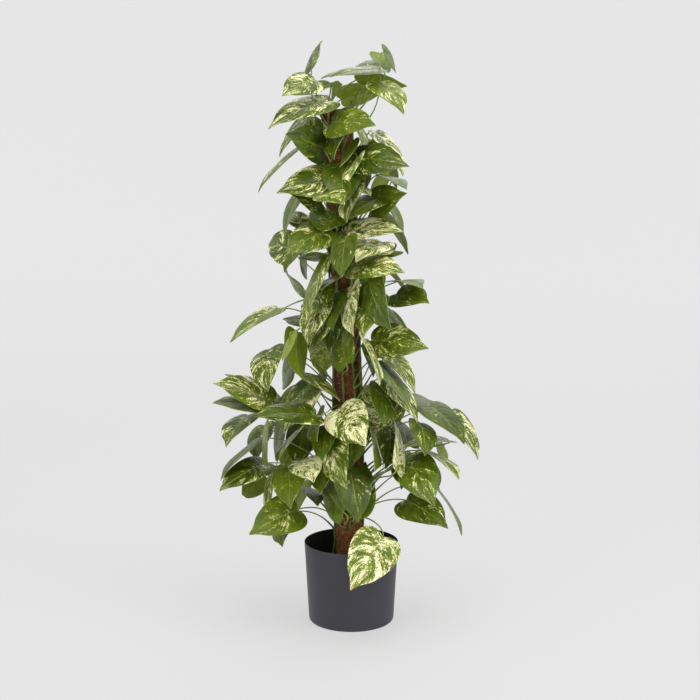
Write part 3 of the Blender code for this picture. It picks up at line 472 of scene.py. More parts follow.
# The stems: eight green vines planted behind the pole. They fan out round it as they climb, each
# close to the coir, and the left front one sends a side shoot round the front near the pot.
STEM_COUNT = 8
STEM_RADIUS = 0.0026
STEM_SIDES = 5
STEM_CLOSE = SLEEVE_RADIUS + 0.0034
STEM_FOOT_RADIUS = 0.0360
STEM_FOOT_DEPTH = 0.0250
STEM_TOPS = (0.965, 0.985, 0.950, 0.975, 0.990, 0.960, 0.980, 0.970)
SPLAY_TOP = 0.150
SPLAY_SPAN = 0.045
FAN_LOW = 0.1800
FAN_HIGH = 0.3000
SPACING_LOW = 20.0
SPACING_HIGH = 45.0
WANDER = 9.0
STEM_NAMES = ("vine_front_right", "vine_right", "vine_right_back", "vine_back_right",
              "vine_back_left", "vine_left_back", "vine_left", "vine_front_left")
COLLAR_STEM = 7
COLLAR_END = 312.0
COLLAR_HIGH = 0.2250
COLLAR_DIP = 0.1870


def smooth(value):
    """Ease from 0 to 1."""
    value = min(max(value, 0.0), 1.0)
    return value * value * (3.0 - 2.0 * value)


def stem_angle(index, height):
    """Bearing of a stem round the pole, in degrees: 90 is the back, 270 the front."""
    share = smooth((height - FAN_LOW) / (FAN_HIGH - FAN_LOW))
    spacing = SPACING_LOW + (SPACING_HIGH - SPACING_LOW) * share
    wander = WANDER * share * math.sin(height * 19.0 + index * 1.7)
    return 90.0 + (index - (STEM_COUNT - 1) / 2.0) * spacing + wander


def round_pole(bearing, height, radius):
    """Point beside the pole at a bearing, height and distance from its centre line."""
    angle = math.radians(bearing)
    return pole_axis(height) + Vector((math.cos(angle), math.sin(angle), 0.0)) * radius


def stem_path(index):
    """Points along one stem: splayed out at its foot in the fill, close to the coir above."""
    heights = [FILL_TOP - STEM_FOOT_DEPTH, FILL_TOP + 0.006]
    while heights[-1] < STEM_TOPS[index] - 0.06:
        heights.append(heights[-1] + (0.022 if heights[-1] < FAN_HIGH else 0.056))
    heights.append(STEM_TOPS[index])
    points = []
    for height in heights:
        splay = smooth((SPLAY_TOP - height) / SPLAY_SPAN)
        distance = STEM_CLOSE + (STEM_FOOT_RADIUS - STEM_CLOSE) * splay
        points.append(round_pole(stem_angle(index, height), height, distance))
    return points


def collar_path(runs):
    """Points along the side shoot that dips round the front of the pole."""
    start = stem_angle(COLLAR_STEM, COLLAR_HIGH)
    points = []
    for step in range(runs + 1):
        share = step / runs
        dip = math.sin(math.pi * min(share * 0.86, 1.0))
        height = COLLAR_HIGH - (COLLAR_HIGH - COLLAR_DIP) * dip
        points.append(round_pole(start + (COLLAR_END - start) * share, height, STEM_CLOSE))
    return points


def cut_runs(path, length, share):
    """One point on each even length of a path's straight runs, at a share of that length."""
    points = []
    for a, b in zip(path, path[1:]):
        count = max(round((b - a).length / length), 1)
        points += [a.lerp(b, (step + share) / count) for step in range(count)]
    return points


def jointed(count, thick, thin, seed):
    """Radii along a stem that thins upward and swells a little at its joints."""
    chance = random.Random(seed)
    radii = []
    until = 4
    for step in range(count):
        until -= 1
        swell = 1.22 if until == 0 else 1.0
        if until == 0:
            until = chance.choice((5, 6, 7))
        radii.append((thick + (thin - thick) * step / count) * swell)
    return radii


stem_skin, tree, shader, place = finish("stem_skin", (104, 116, 52), 0.5)
long_way = step_node(tree, "ShaderNodeMapping", Vector=place, Scale=(1.0, 1.0, 0.2))
streak = mottle(tree, long_way.outputs["Vector"], 420.0, 3.0)
young = shade(tree, between(tree, streak, 0.35, 0.65), (82, 98, 42), (118, 132, 60))
age = between(tree, mottle(tree, place, 22.0, 2.0), 0.4, 0.65)
tint(tree, shader, age, young, (98, 82, 48))
raise_surface(tree, shader, streak, 0.3, 0.0004)


# The leaves' places: each row is one leaf of the plant as it is seen from the front, in
# centimetres on the upright plane through the pot's middle. A leaf of the table slides along the
# line of sight, a leaf of the rule is drawn again, and its stalk takes other bends, until it meets
# nothing but its own stem; a leaf that finds no such place is left out.
CM = 0.01
START_LOW = 0.1700
BLADE_THICKNESS = 0.0009
STALK_RADIUS = 0.0013
BLADE_SHAPE = 0.68
BLADE_FULL = 0.65
BLADE_LOBE = 0.33
TIP_START = 0.68
TIP_SPAN = 0.12
TIP_SLIM = 0.30
GUARD_THICKNESS = 0.0020
GUARD_STALK = 0.0020
SEEN_ROWS = 4
RULE_ROWS = 3
STALK_STEPS = (0.0, 0.40, 0.78, 1.0)

# Name, stalk end x and z, tip x and z, width as seen, stalk end nearer the viewer than the plane,
# tip leaning to (1) or from (-1) the viewer, the way the seen face turns, share of cream from 0
# to 1, and true length.
LEAVES = (
    ("W20", 6, 16.2, -0.2, 5.5, 9, 10.6, 1, "up", 0.6, 12.4),
    ("W1", -2.1, 41.2, 2.8, 33.9, 8.2, 8, 1, "up", 0.75, 11),
    ("W2", 7.4, 39.2, 2.4, 45.8, 7, 7.5, -1, "right", 0.6, 10),
    ("W3", -4.3, 36.2, -0.8, 25.6, 6.5, 7, 1, "left", 0.35, 11.6),
    ("W5", 0.5, 20.3, 2.8, 31, 6.8, 6.5, -1, "up", 0.1, 11.3),
    ("W17", 10.8, 31.4, 16, 22.2, 8, 5, 1, "right", 0.15, 12),
    ("W18", 10.5, 23.4, 18.6, 17.8, 6.8, 5.5, 1, "up", 0.1, 11.2),
    ("W26", -10.3, 21.6, -19.7, 16.6, 7.5, 5.5, 1, "up", 0.15, 11.5),
    ("W23", -11.5, 30.6, -11.6, 21.6, 6.5, 6, 1, "left", 0.1, 10.6),
    ("W24", -9.3, 31.2, -7.1, 26.8, 6, 5, 1, "up", 0.85, 9),
    ("W6", -1.6, 21.2, -5.8, 27.6, 4.5, 5, -1, "left", 0.02, 10),
    ("W21", -16.4, 30.7, -25.2, 25.2, 5, 3, 1, "up", 0.2, 11.2),
    ("W11", 14.6, 41.9, 21.5, 34.3, 4.6, 3, 1, "right", 0.02, 11.2),
    ("W12", 18.9, 40.9, 24.1, 31.3, 3.5, 0.5, 1, "right", 0.35, 11.4),
    ("W9", 8.6, 29.4, 7.9, 39.2, 1.9, 6, -1, "right", 0.8, 10.6),
    ("W10", 10.6, 34.3, 8.6, 39.2, 4, 2, -1, "up", 0.02, 9),
    ("W7", 3.9, 37, 4.5, 29, 1.6, 5, 1, "right", 0.1, 10),
    ("W8", 7.5, 29.5, 3.7, 26.3, 1.2, 6.5, 1, "up", 0.05, 8.5),
    ("W14", 18.5, 35.1, 9.7, 33.6, 1.8, 4, 1, "up", 0.5, 10),
    ("W16", 14.3, 33, 20.6, 27.5, 2, 3.5, 1, "up", 0.4, 10),
    ("W15", 17.6, 34, 17, 31.6, 2.8, 2, 1, "down", 0.05, 6),
    ("W19", 16.4, 25.7, 21.2, 16.4, 0.9, 2, 1, "right", 0.05, 11),
    ("W25", -14.8, 29.5, -15.6, 20.3, 2, 3, 1, "left", 0.5, 10.4),
    ("W22", -16.5, 28.3, -20.9, 24.4, 5, 0.5, 1, "down", 0.02, 9),
    ("W27", -12, 20.5, -13.2, 14.1, 4, 2.5, 1, "left", 0.03, 9.6),
    ("W28", -9, 26, -6.4, 22.2, 3, 3.5, 1, "up", 0.05, 8),
    ("W4", -6.5, 40, -6.5, 34.8, 3, 4.5, 1, "left", 0.05, 9),
    ("W13", 11.5, 42.7, 15, 42.8, 2, 0, -1, "up", 0.02, 8),
    ("S8", -6.8, 39.9, -18.5, 39.7, 4.2, 6, 1, "up", 0.12, 11.9),
    ("S6", -14.8, 42.8, -26.2, 46.1, 5.5, 3, 1, "up", 0.35, 12),
    ("S7", -15.2, 41.5, -26.3, 42.3, 3.5, 5, 1, "up", 0.15, 11.6),
    ("S5", -13.7, 42.6, -23.9, 47.8, 2.2, 0.5, 1, "up", 0.2, 11.6),
    ("S1", -13.8, 60.3, -22.8, 53.9, 2.6, 2, 1, "up", 0.2, 11.4),
    ("S2", -15.3, 52.6, -15.8, 44.5, 5.8, 3, 1, "left", 0.3, 10.5),
    ("S3", -10.2, 55.8, -9.2, 46.8, 4, 3.5, 1, "right", 0, 10.2),
    ("S4", -11, 50, -13, 45, 2.5, 1, -1, "left", 0.02, 9),
    ("S9", -19.5, 40, -23.8, 33.8, 4.2, 1, 1, "left", 0.25, 10),
    ("S10", -17.4, 35.4, -25, 27.2, 1.3, 1, 1, "left", 0, 11.6),
    ("S11", -15.8, 39, -15.7, 29.8, 1.3, 3, 1, "left", 0.05, 10.2),
    ("S12", -13, 38.5, -14.3, 31, 2.3, 2, -1, "left", 0.02, 9.5),
    ("S13", -9.8, 37.3, -14.1, 30.8, 1.3, 5, 1, "up", 0.4, 9.6),
    ("S14", -11.5, 55, -13, 50.5, 1.4, 3, 1, "left", 0.05, 7.5),
    ("S15", -9.3, 48, -2.1, 42.6, 2, 5, 1, "up", 0.35, 10),
    ("M22", 3.8, 54.2, 14.6, 52.7, 6.5, 6, 1, "up", 0.2, 11.5),
    ("M18", 0.2, 64.6, 0.5, 55, 3.4, 7, 1, "left", 0.7, 10.6),
    ("M19", 4.3, 62.4, 2.3, 54.9, 5.5, 8, 1, "up", 0.35, 9.8),
    ("M15", 3.2, 65.6, 7.5, 56.2, 5.5, 6, 1, "left", 0.05, 11.2),
    ("M20", -0.9, 49.8, -1.6, 58.4, 4, 6, -1, "left", 0.08, 10),
    ("M21", 2.5, 54.6, 5.3, 45.6, 1.7, 7, 1, "right", 0.6, 10.4),
    ("M23", 5, 50.2, 11.4, 40.8, 2.4, 6, 1, "right", 0.1, 11.8),
    ("M10", -1.5, 74.8, 9.6, 74.7, 4.2, 6, 1, "up", 0.5, 11.6),
    ("M3", -4.6, 75, -12.4, 70.3, 6, 6, 1, "up", 0.2, 10.8),
    ("M1", -10.8, 71.5, -15.4, 72.4, 6.5, 2, -1, "left", 0.25, 9.4),
    ("M2", -8.5, 75.5, -12.1, 78.4, 3.5, 0, -1, "up", 0.5, 8.6),
    ("M4", -3, 75.6, -7.5, 78.8, 4.5, 6, -1, "up", 0.1, 8.5),
    ("M5", -4.9, 70.6, -10, 70, 1.5, 4, -1, "down", 0.02, 8.6),
    ("M6", -9.6, 69.6, -8.4, 66.3, 1.6, 3, -1, "right", 0.02, 8),
    ("M7", -4.6, 69.7, -7.8, 59.2, 2.6, 6, 1, "left", 0.2, 11.5),
    ("M8", -8.8, 63.8, -12.1, 67.6, 0.9, 3, -1, "left", 0.1, 8.6),
    ("M9", -2.8, 66.3, -5.6, 63.6, 2.2, 7, 1, "up", 0.4, 8.5),
    ("M11", 5.6, 72.7, 0.8, 68.9, 4.5, 7, 1, "up", 0.75, 9.6),
    ("M12", 4, 70.5, 8, 72.6, 3, 4, -1, "up", 0.2, 8.5),
    ("M13", 0.6, 67.7, 10, 67, 4.3, 7, 1, "up", 0.35, 10.8),
    ("M14", 5, 70, 9.2, 70.9, 2, 3, -1, "up", 0.05, 9),
    ("M16", 8.6, 65.4, 13.4, 64.1, 1.8, 4, 1, "up", 0.05, 9),
    ("M17", 8.4, 63, 14.6, 61.3, 5, 4, 1, "up", 0.1, 9.6),
    ("M24", -5, 55.3, -9.3, 54.8, 2.7, 3, -1, "up", 0.02, 8.5),
    ("M25", -5, 57.4, -12.9, 58.3, 3, 3, -1, "up", 0.3, 9.6),
    ("M26", -5, 59.8, -8.8, 61.5, 4, 2, -1, "up", 0.02, 9),
    ("U3", -1.3, 84.3, -13.9, 81.8, 6.3, 6, 1, "up", 0.28, 13),
    ("U4", -5.5, 79.8, -11.4, 81.7, 4.5, 3, 1, "up", 0.15, 8),
    ("U15", 4.6, 80.7, -0.6, 77, 4, 6, 1, "up", 0.05, 9),
    ("U8", 0.2, 88.2, 10.7, 86.6, 5.7, 6, 1, "up", 0.12, 11.4),
    ("U14", 3.6, 79, 10.3, 81.8, 6, 5, 1, "up", 0.12, 9.8),
    ("U2", -5.2, 89.8, -12.2, 92.6, 6, 5, 1, "up", 0.03, 9.8),
    ("U1", -5.6, 89.8, -8, 95.9, 5.5, 3, -1, "left", 0.4, 9.4),
    ("U12", 0.8, 83.2, -0.8, 76.3, 3.3, 7, 1, "left", 0.45, 9.6),
    ("U5", -5, 81.6, -1.2, 79.6, 4, 5, 1, "up", 0.25, 8),
    ("U6", -0.1, 90.9, -2.2, 86.6, 1.5, 6, 1, "left", 0.05, 7.5),
    ("U7", -1.5, 94, -3.2, 87.9, 3, 5, 1, "left", 0.02, 9),
    ("U9", 0.9, 88, -0.4, 83.9, 2.5, 7, 1, "left", 0.5, 8.2),
    ("U10", 5, 85.1, 10.3, 82.4, 1.5, 3, 1, "up", 0.05, 9),
    ("U11", 6.8, 84.8, 3.4, 82, 2.5, 0, 1, "right", 0.05, 6),
    ("U13", 2, 82.6, 3.6, 81.2, 1.6, 6, 1, "up", 0.9, 3.5),
    ("U16", 1.2, 94.5, 1.8, 90.5, 2.3, 5, 1, "right", 0.2, 8),
    ("C3", -3.8, 98.5, -15.3, 93.4, 4, 5, 1, "up", 0.42, 12.8),
    ("C2", -6.6, 102.2, -12.8, 99.4, 4.8, 4, 1, "up", 0.35, 9),
    ("C13", -3.6, 94.6, 4.5, 94.1, 5.4, 6, 1, "up", 0.12, 10.4),
    ("C11", 4.9, 101.7, 9.6, 96.1, 4.5, 4, 1, "up", 0.3, 9.6),
    ("C10", 1.5, 101.6, 10.2, 101.2, 3.9, 2, 1, "down", 0.1, 9.5),
    ("C1", -7.3, 104.2, -5.2, 109.3, 1.2, 2, -1, "left", 0.1, 8),
    ("C4", -3.9, 101.8, -7.8, 99.6, 2.8, -2, -1, "down", 0.02, 8),
    ("C5", 3, 104, -5.6, 102.5, 0.9, -1, 1, "up", 0.03, 9.8),
    ("C6", 4.8, 104.8, -0.2, 103.9, 1.8, -2, -1, "up", 0.03, 8.6),
    ("C7", 5.4, 104.1, -3.9, 102.8, 1.6, 1, 1, "up", 0.1, 10),
    ("C8", 5, 105.3, 6.6, 107, 5, 0.5, -1, "down", 0.05, 7),
    ("C9", 5.9, 107.2, 8.1, 103.6, 1.2, -2, -1, "right", 0.05, 7),
    ("C14", -3.6, 99, -1.6, 101.6, 2, 2, -1, "down", 0.05, 6.5),
    ("C15", -1.8, 98.8, 6.8, 101, 4.2, -1.5, 1, "down", 0.05, 9.5),
    ("D20", -9, 38, -10, 29.5, 6, -2, 1, "left", 0.05, 9.5),
    ("D22", 10, 33, 9.5, 25.5, 5, -1, 1, "right", 0.05, 9),
    ("D23", 14, 31, 15, 24, 5, -2, 1, "right", 0.1, 9),
    ("D24", 13, 38.5, 14, 32, 4.5, -2, 1, "right", 0.05, 8.5),
    ("D26", -5, 31, -6, 24.5, 4.5, 0, 1, "left", 0.05, 8),
    ("D27", -4.5, 38, -5.5, 31, 4.5, 1.5, 1, "left", 0.05, 8.5),
    ("D2", 7.5, 37.5, 6.5, 29.5, 5, 2.5, 1, "right", 0.1, 9),
    ("D7", -4, 33, -5, 26, 5, 3, 1, "left", 0.05, 8.5),
    ("D9", -16.5, 38, -18, 31, 4.5, 0, 1, "left", 0.1, 9),
    ("D10", 5.5, 45.5, 6, 38, 4.5, 3, 1, "right", 0.05, 9),
    ("D11", -6.5, 47.5, -7.5, 40.5, 4.5, 2, 1, "left", 0.05, 9),
    ("D12", -1, 73.5, -1.8, 66, 4.5, 4, 1, "left", 0.05, 8.5),
    ("D14", -3, 63, -3.4, 56, 4.5, 4, 1, "left", 0.05, 8.5),
)

# Leaves seen from below; all the others show their upper face.
UNDERSIDES = ("W15", "W22", "S3", "S14", "U6", "U11", "C10", "C4", "C8", "C14", "C15")

# Leaves on the hidden sides follow a seeded rule over the back (centre bearing 90) and, closer in,
# behind the leaves of the front (270): letter, count, centre, spread, lowest, highest, nearest to
# the pole, room beyond, flared skirt, least droop, shortest and longest blade, seed.
RULE_LEAVES = (
    ("H", 14, 270.0, 40.0, 0.400, 0.960, 0.037, 0.008, 0, 66.0, 0.060, 0.078, 23),
    ("F", 26, 270.0, 88.0, 0.330, 0.985, 0.048, 0.030, 1, 45.0, 0.085, 0.112, 11),
    ("K", 12, 270.0, 84.0, 0.290, 0.430, 0.038, 0.030, 0, 60.0, 0.070, 0.092, 29),
    ("B", 20, 90.0, 68.0, 0.225, 0.985, 0.060, 0.030, 1, 20.0, 0.085, 0.112, 7),
)
SKIRT_TOP = 0.42
SKIRT_END = 0.56
POLE_SHOWN = (0.425, 0.575)
POLE_CLEAR = 62.0
MOST_DROOP = 80.0
RULE_SHAPE = 0.72
SLIDES = (0.0, 0.8, -0.8, 1.6, -1.6, 2.6, -2.6, 3.8, -3.8, 5.2, -5.2, 6.8, -6.8, 8.4)
RULE_DRAWS = 60
START_TRIES = 16
MOST_RUN_IN = 0.026
MOST_UNDER = 0.014
STALK_BENDS = ((0.35, 0.45, 0.28, 0.10), (0.55, 0.20, 0.28, 0.16), (0.35, 0.65, 0.30, 0.05),
               (0.45, 0.05, 0.45, 0.20), (0.30, -0.25, 0.40, 0.10))
UP = Vector((0.0, 0.0, 1.0))
FACE_TURNS = {"up": UP, "down": -UP, "left": Vector((-1, 0, 0)), "right": Vector((1, 0, 0))}


def stalk_starts():
    """Every place on the stems where a leaf stalk may start, with its stem's number."""
    starts = [(COLLAR_STEM, point) for point in cut_runs(collar_path(8)[2:], 0.012, 0.5)]
    on_stems = [(index, point) for index in range(STEM_COUNT)
                for point in cut_runs(stem_path(index), 0.010, 0.5)[:-1] if point.z > START_LOW]
    return on_stems + starts


def on_sight(x, z, near):
    """Point on the viewer's line through plane point (x, z), brought nearer by so much."""
    foot = Vector((x, 0.0, z))
    return foot + (EYE - foot) * (near / -EYE.y)


def reach(start, x, z, length, lean):
    """Point on the viewer's line through (x, z) one leaf length away from the start."""
    foot = Vector((x, 0.0, z))
    ray = (EYE - foot).normalized()
    gap = foot - start
    middle = gap.dot(ray)
    inside = middle * middle - gap.length_squared + length * length
    return foot + ray * (lean * math.sqrt(max(inside, 0.0)) - middle)


def frame_leaf(name, base, tip, normal, width, cream, rows):
    """Collect a leaf's place: midrib direction, upper-face normal and sideways direction."""
    along = (tip - base).normalized()
    normal = (normal - along * normal.dot(along)).normalized()
    chance = random.Random(name)
    return SimpleNamespace(
        name=name, base=base, length=(tip - base).length, along=along, normal=normal,
        side=along.cross(normal), width=width, cream=cream, rows=rows,
        arch=chance.uniform(0.03, 0.08), fold=chance.uniform(0.12, 0.28),
        wave=chance.uniform(0.010, 0.022), phase=chance.uniform(0.0, math.tau))


def seen_leaf(row, slide):
    """Place a leaf of the table, slid along the line of sight."""
    name, x0, z0, x1, z1, seen, near, lean, turn, cream, length = row
    base = on_sight(x0 * CM, z0 * CM, (near + slide) * CM)
    tip = reach(base, x1 * CM, z1 * CM, length * CM, lean)
    width = max(BLADE_SHAPE * (tip - base).length, seen * CM)
    along = (tip - base).normalized()
    view = (EYE - base).normalized()
    flat = (view - along * view.dot(along)).normalized()
    roll = math.acos(min(seen * CM / width, 1.0))
    options = [flat * math.cos(roll) + along.cross(flat) * math.sin(sign * roll)
               for sign in (1, -1)]
    normal = max(options, key=lambda option: option.dot(FACE_TURNS[turn]))
    if name in UNDERSIDES:
        normal = -normal
    return frame_leaf(name, base, tip, normal, width, cream, SEEN_ROWS if seen > 4.0 else RULE_ROWS)


def rule_leaf(rule, number, draw):
    """Place one leaf by the seeded rule, wide out in the skirt and close in above it."""
    letter, count, middle, spread, low, high, near, room, flare, steep, short, full, seed = rule
    chance = random.Random(seed * 100000 + number * 100 + draw)
    height = low + (high - low) * (number + chance.uniform(-0.5, 0.5) * (1.0 + 0.05 * draw)) / count
    aside = math.sin(number * 2.4)
    bearing = middle + spread * aside + chance.uniform(-8.0, 8.0) * (1.0 + 0.1 * draw)
    skirt = 1.0 - smooth((height - SKIRT_TOP) / (SKIRT_END - SKIRT_TOP))
    distance = near + chance.uniform(0.0, room) + (0.020 + 0.030 * chance.random()) * skirt * flare
    if letter != "B" and POLE_SHOWN[0] < height < POLE_SHOWN[1]:
        bearing = middle + math.copysign(POLE_CLEAR, aside)
    droop = math.radians(chance.uniform(steep, MOST_DROOP))
    swing = math.radians(bearing + chance.uniform(-25.0, 25.0))
    outward = Vector((math.cos(swing), math.sin(swing), 0.0))
    base = round_pole(bearing, height, distance)
    along = outward * math.cos(droop) - UP * math.sin(droop)
    normal = outward * math.sin(droop) + UP * math.cos(droop)
    length = chance.uniform(short, full)
    cream = chance.choice((0.02, 0.05, 0.1, 0.2, 0.35, 0.55))
    tip = base + along * length
    return frame_leaf(f"{letter}{number}", base, tip, normal, length * RULE_SHAPE, cream, RULE_ROWS)


def blade_point(leaf, along, across):
    """Point of the blade: along runs 0 to 1 to the tip, across -1 to 1 from edge to edge."""
    turn = math.pi * along
    slim = 1.0 - TIP_SLIM * smooth((along - TIP_START) / TIP_SPAN)
    edge = BLADE_FULL * leaf.width * slim * math.sin(turn) * max(math.cos(turn / 2.0), 0.0) ** 0.9
    back = BLADE_LOBE * leaf.length * math.sin(turn) * (1.0 - along) ** 2
    edge_y = leaf.length * (1.0 - math.cos(turn)) / 2.0 - back
    rib_y = leaf.length * along ** 1.25
    x = across * edge
    y = rib_y + (edge_y - rib_y) * abs(across) ** 1.3
    share = y / leaf.length
    half = leaf.width / 2.0
    lift = leaf.arch * leaf.length * 4.0 * share * (1.0 - share)
    lift += leaf.fold * abs(x) * (1.0 - 0.9 * abs(x) / half)
    swing = math.sin(leaf.phase + 9.0 * along + (1.4 if across > 0 else 0.0))
    lift += leaf.wave * leaf.length * across * across * math.sin(turn) * swing
    return leaf.base + leaf.side * x + leaf.along * y + leaf.normal * lift


def stalk_curve(start, out, leaf, bend):
    """Control points of a leaf stalk from its stem to the blade's notch."""
    reach_out, rise, run_in, under = bend
    span = (leaf.base - start).length
    first = start + (out * reach_out + Vector((0, 0, rise))) * span
    run_in = min(run_in * span, MOST_RUN_IN)
    under = min(under * span, MOST_UNDER)
    return start, first, leaf.base - leaf.along * run_in - leaf.normal * under, leaf.base


def curve_point(curve, share):
    """Point on a cubic curve."""
    rest = 1.0 - share
    a, b, c, d = curve
    return (a * rest ** 3 + b * (3.0 * rest * rest * share)
            + c * (3.0 * rest * share * share) + d * share ** 3)


def stalk_rings(leaf, curve, radius):
    """Four-cornered rings along the stalk; the last one opens into the blade's notch."""
    centres = [curve_point(curve, share) for share in STALK_STEPS]
    last = len(centres) - 1
    rings = []
    upward = leaf.normal
    for index in range(last, -1, -1):
        heading = leaf.along
        if index < last:
            heading = (centres[index + 1] - centres[max(index - 1, 0)]).normalized()
        upward = (upward - heading * upward.dot(heading)).normalized()
        sideways = heading.cross(upward)
        rings.append([centres[index] + spoke * radius
                      for spoke in (upward, sideways, -upward, -sideways)])
    return rings[::-1]


def blade_rows(leaf, thickness):
    """Top and bottom corners of each crosswise row of the blade, from the notch to the tip."""
    half = leaf.normal * (thickness / 2.0)
    corners = []
    for row in range(1, leaf.rows + 1):
        for across in (-1.0, 0.0, 1.0):
            point = blade_point(leaf, row / (leaf.rows + 1.0), across)
            corners += [point + half, point - half]
    return corners + [blade_point(leaf, 1.0, 0.0)]


def blade_faces(first, rows):
    """Faces of the blade: first is the notch ring's start, each row has six corners."""
    top, right, under, left, lt, lb, mt, mb, rt, rb = range(first, first + 10)
    faces = [(top, left, lt), (top, lt, mt), (top, mt, rt), (top, rt, right),
             (under, left, lb), (under, lb, mb), (under, mb, rb), (under, rb, right),
             (left, lt, lb), (right, rt, rb)]
    sides = [(lt, mt), (mt, rt), (lb, mb), (mb, rb), (lt, lb), (rt, rb)]
    for _ in range(rows - 1):
        for a, b in sides:
            faces += [(a, b, b + 6), (a, b + 6, a + 6)]
        sides = [(a + 6, b + 6) for a, b in sides]
    tip = first + 4 + 6 * rows
    return faces + [(a, b, tip) for a, b in sides]


def stalk_faces(rings):
    """Faces of the stalk, closed at its stem end."""
    faces = [(0, 1, 2, 3)]
    for ring in range(rings - 1):
        for side in range(4):
            a = ring * 4 + side
            b = ring * 4 + (side + 1) % 4
            faces += [(a, b, b + 4), (a, b + 4, a + 4)]
    return faces


def leaf_shape(leaf, curve, thickness, radius):
    """Corners and faces of a whole leaf, stalk and blade in one closed shell."""
    points = [point for ring in stalk_rings(leaf, curve, radius) for point in ring]
    faces = stalk_faces(len(STALK_STEPS)) + blade_faces(len(points) - 4, leaf.rows)
    return points + blade_rows(leaf, thickness), faces


def guard_of(points, faces, owner):
    """Overlap guard of a shape, with the stem it belongs to."""
    return SimpleNamespace(tree=BVHTree.FromPolygons(points, faces), owner=owner)


def crossings(guard, placed):
    """Count the shapes of other stems and of the same stem that a guard runs into."""
    own = [other.owner == guard.owner for other in placed if guard.tree.overlap(other.tree)]
    return own.count(False), own.count(True)


def tube_guard(path, radius, sides, owner):
    """Overlap guard of a round tube along a path."""
    points, faces = [], []
    ends = len(path) - 1
    across = Vector((1.0, 0.0, 0.0))
    for index, centre in enumerate(path):
        along = (path[min(index + 1, ends)] - path[max(index - 1, 0)]).normalized()
        across = (across - along * across.dot(along)).normalized()
        other = along.cross(across)
        first = index * sides
        for side in range(sides):
            angle = math.tau * side / sides
            points.append(centre + (across * math.cos(angle) + other * math.sin(angle)) * radius)
            if index < ends:
                a, b = first + side, first + (side + 1) % sides
                faces.append((a, b, b + sides, a + sides))
    faces += [tuple(range(sides)), tuple(range(ends * sides, ends * sides + sides))]
    return guard_of(points, faces, owner)


def pot_guard():
    """Overlap guard of the pot's wall, grown outward and inward by a little."""
    grown = 0.0012
    inside = POT_RIM_RADIUS - POT_WALL
    turned = POT_FLOOR + POT_CORNER
    bm = spun([(0.0, 0.0), (POT_BASE_RADIUS - POT_CORNER, 0.0),
               (POT_BASE_RADIUS - POT_CORNER * 0.3 + grown, POT_CORNER * 0.3),
               (POT_BASE_RADIUS + POT_TAPER * POT_CORNER + grown, POT_CORNER),
               (POT_RIM_RADIUS + grown, POT_HEIGHT - 0.0006),
               (POT_RIM_RADIUS - 0.0006 + grown, POT_HEIGHT + grown),
               (inside + 0.0004 - grown, POT_HEIGHT + grown), (inside - grown, POT_HEIGHT - 0.0004),
               (wall_radius(turned, POT_WALL) - grown, turned),
               (POT_BASE_RADIUS - POT_WALL - POT_CORNER - grown, POT_FLOOR), (0.0, POT_FLOOR)], 32)
    bm.verts.index_update()
    points = [vert.co.copy() for vert in bm.verts]
    faces = [[vert.index for vert in face.verts] for face in bm.faces]
    bm.free()
    return guard_of(points, faces, "pot")


def fixed_guards():
    """Guards of the pole, the pot and every stem."""
    pole = pole_points(POLE_FOOT, POLE_TOP + 0.001, POLE_RUNS)
    paths = [(index, stem_path(index)) for index in range(STEM_COUNT)]
    paths.append((COLLAR_STEM, collar_path(8)))
    return [tube_guard(pole, SLEEVE_RADIUS + 0.0003, 20, "pole"), pot_guard()] + [
        tube_guard(path, STEM_RADIUS + 0.0004, STEM_SIDES, owner) for owner, path in paths]


def stalk_tries(leaf, starts):
    """Yield the stalks that may carry a leaf, from the starts nearest to a point below its base."""
    span = (leaf.base - pole_axis(leaf.base.z)).length
    wanted = leaf.base - UP * min(0.30 * span + 0.02, 0.07)
    ranked = sorted(starts, key=lambda start: (start[1] - wanted).length)[:START_TRIES]
    for bend in STALK_BENDS:
        for owner, start in ranked:
            out = start - pole_axis(start.z)
            yield owner, stalk_curve(start, out.normalized(), leaf, bend)


def stalk_tree(points):
    """Overlap tree of a stalk without its last run, which opens into the blade."""
    rings = len(STALK_STEPS) - 1
    return BVHTree.FromPolygons(points[:rings * 4], stalk_faces(rings))


def crosses_itself(leaf, curve):
    """True when faces of a leaf that share no corner run through each other."""
    points, faces = leaf_shape(leaf, curve, BLADE_THICKNESS, STALK_RADIUS)
    tree = BVHTree.FromPolygons(points, faces)
    return any(not set(faces[a]) & set(faces[b]) for a, b in tree.overlap(tree))


def blade_guard(leaf):
    """Guard of the blade alone."""
    notch = [leaf.base + spoke * GUARD_STALK
             for spoke in (leaf.normal, leaf.side, -leaf.normal, -leaf.side)]
    return guard_of(notch + blade_rows(leaf, GUARD_THICKNESS),
                    blade_faces(0, leaf.rows) + [(0, 1, 2, 3)], None)


def settle(place, tries, starts, placed):
    """Find the first place of a leaf that meets nothing but the stem that carries it."""
    for attempt in tries:
        leaf = place(attempt)
        blade = blade_guard(leaf)
        if crossings(blade, placed)[0]:
            continue
        for owner, curve in stalk_tries(leaf, starts):
            points, faces = leaf_shape(leaf, curve, GUARD_THICKNESS, GUARD_STALK)
            if blade.tree.overlap(stalk_tree(points)):
                continue
            guard = guard_of(points, faces, owner)
            others, own = crossings(guard, placed)
            if others or own > 1:
                continue
            # The stalk's first run starts inside its stem; what lies beyond it meets nothing.
            beyond = guard_of(points, [face for face in faces if min(face) >= 4], owner)
            if not any(crossings(beyond, placed)) and not crosses_itself(leaf, curve):
                return SimpleNamespace(leaf=leaf, owner=owner, curve=curve, guard=guard)
    return None


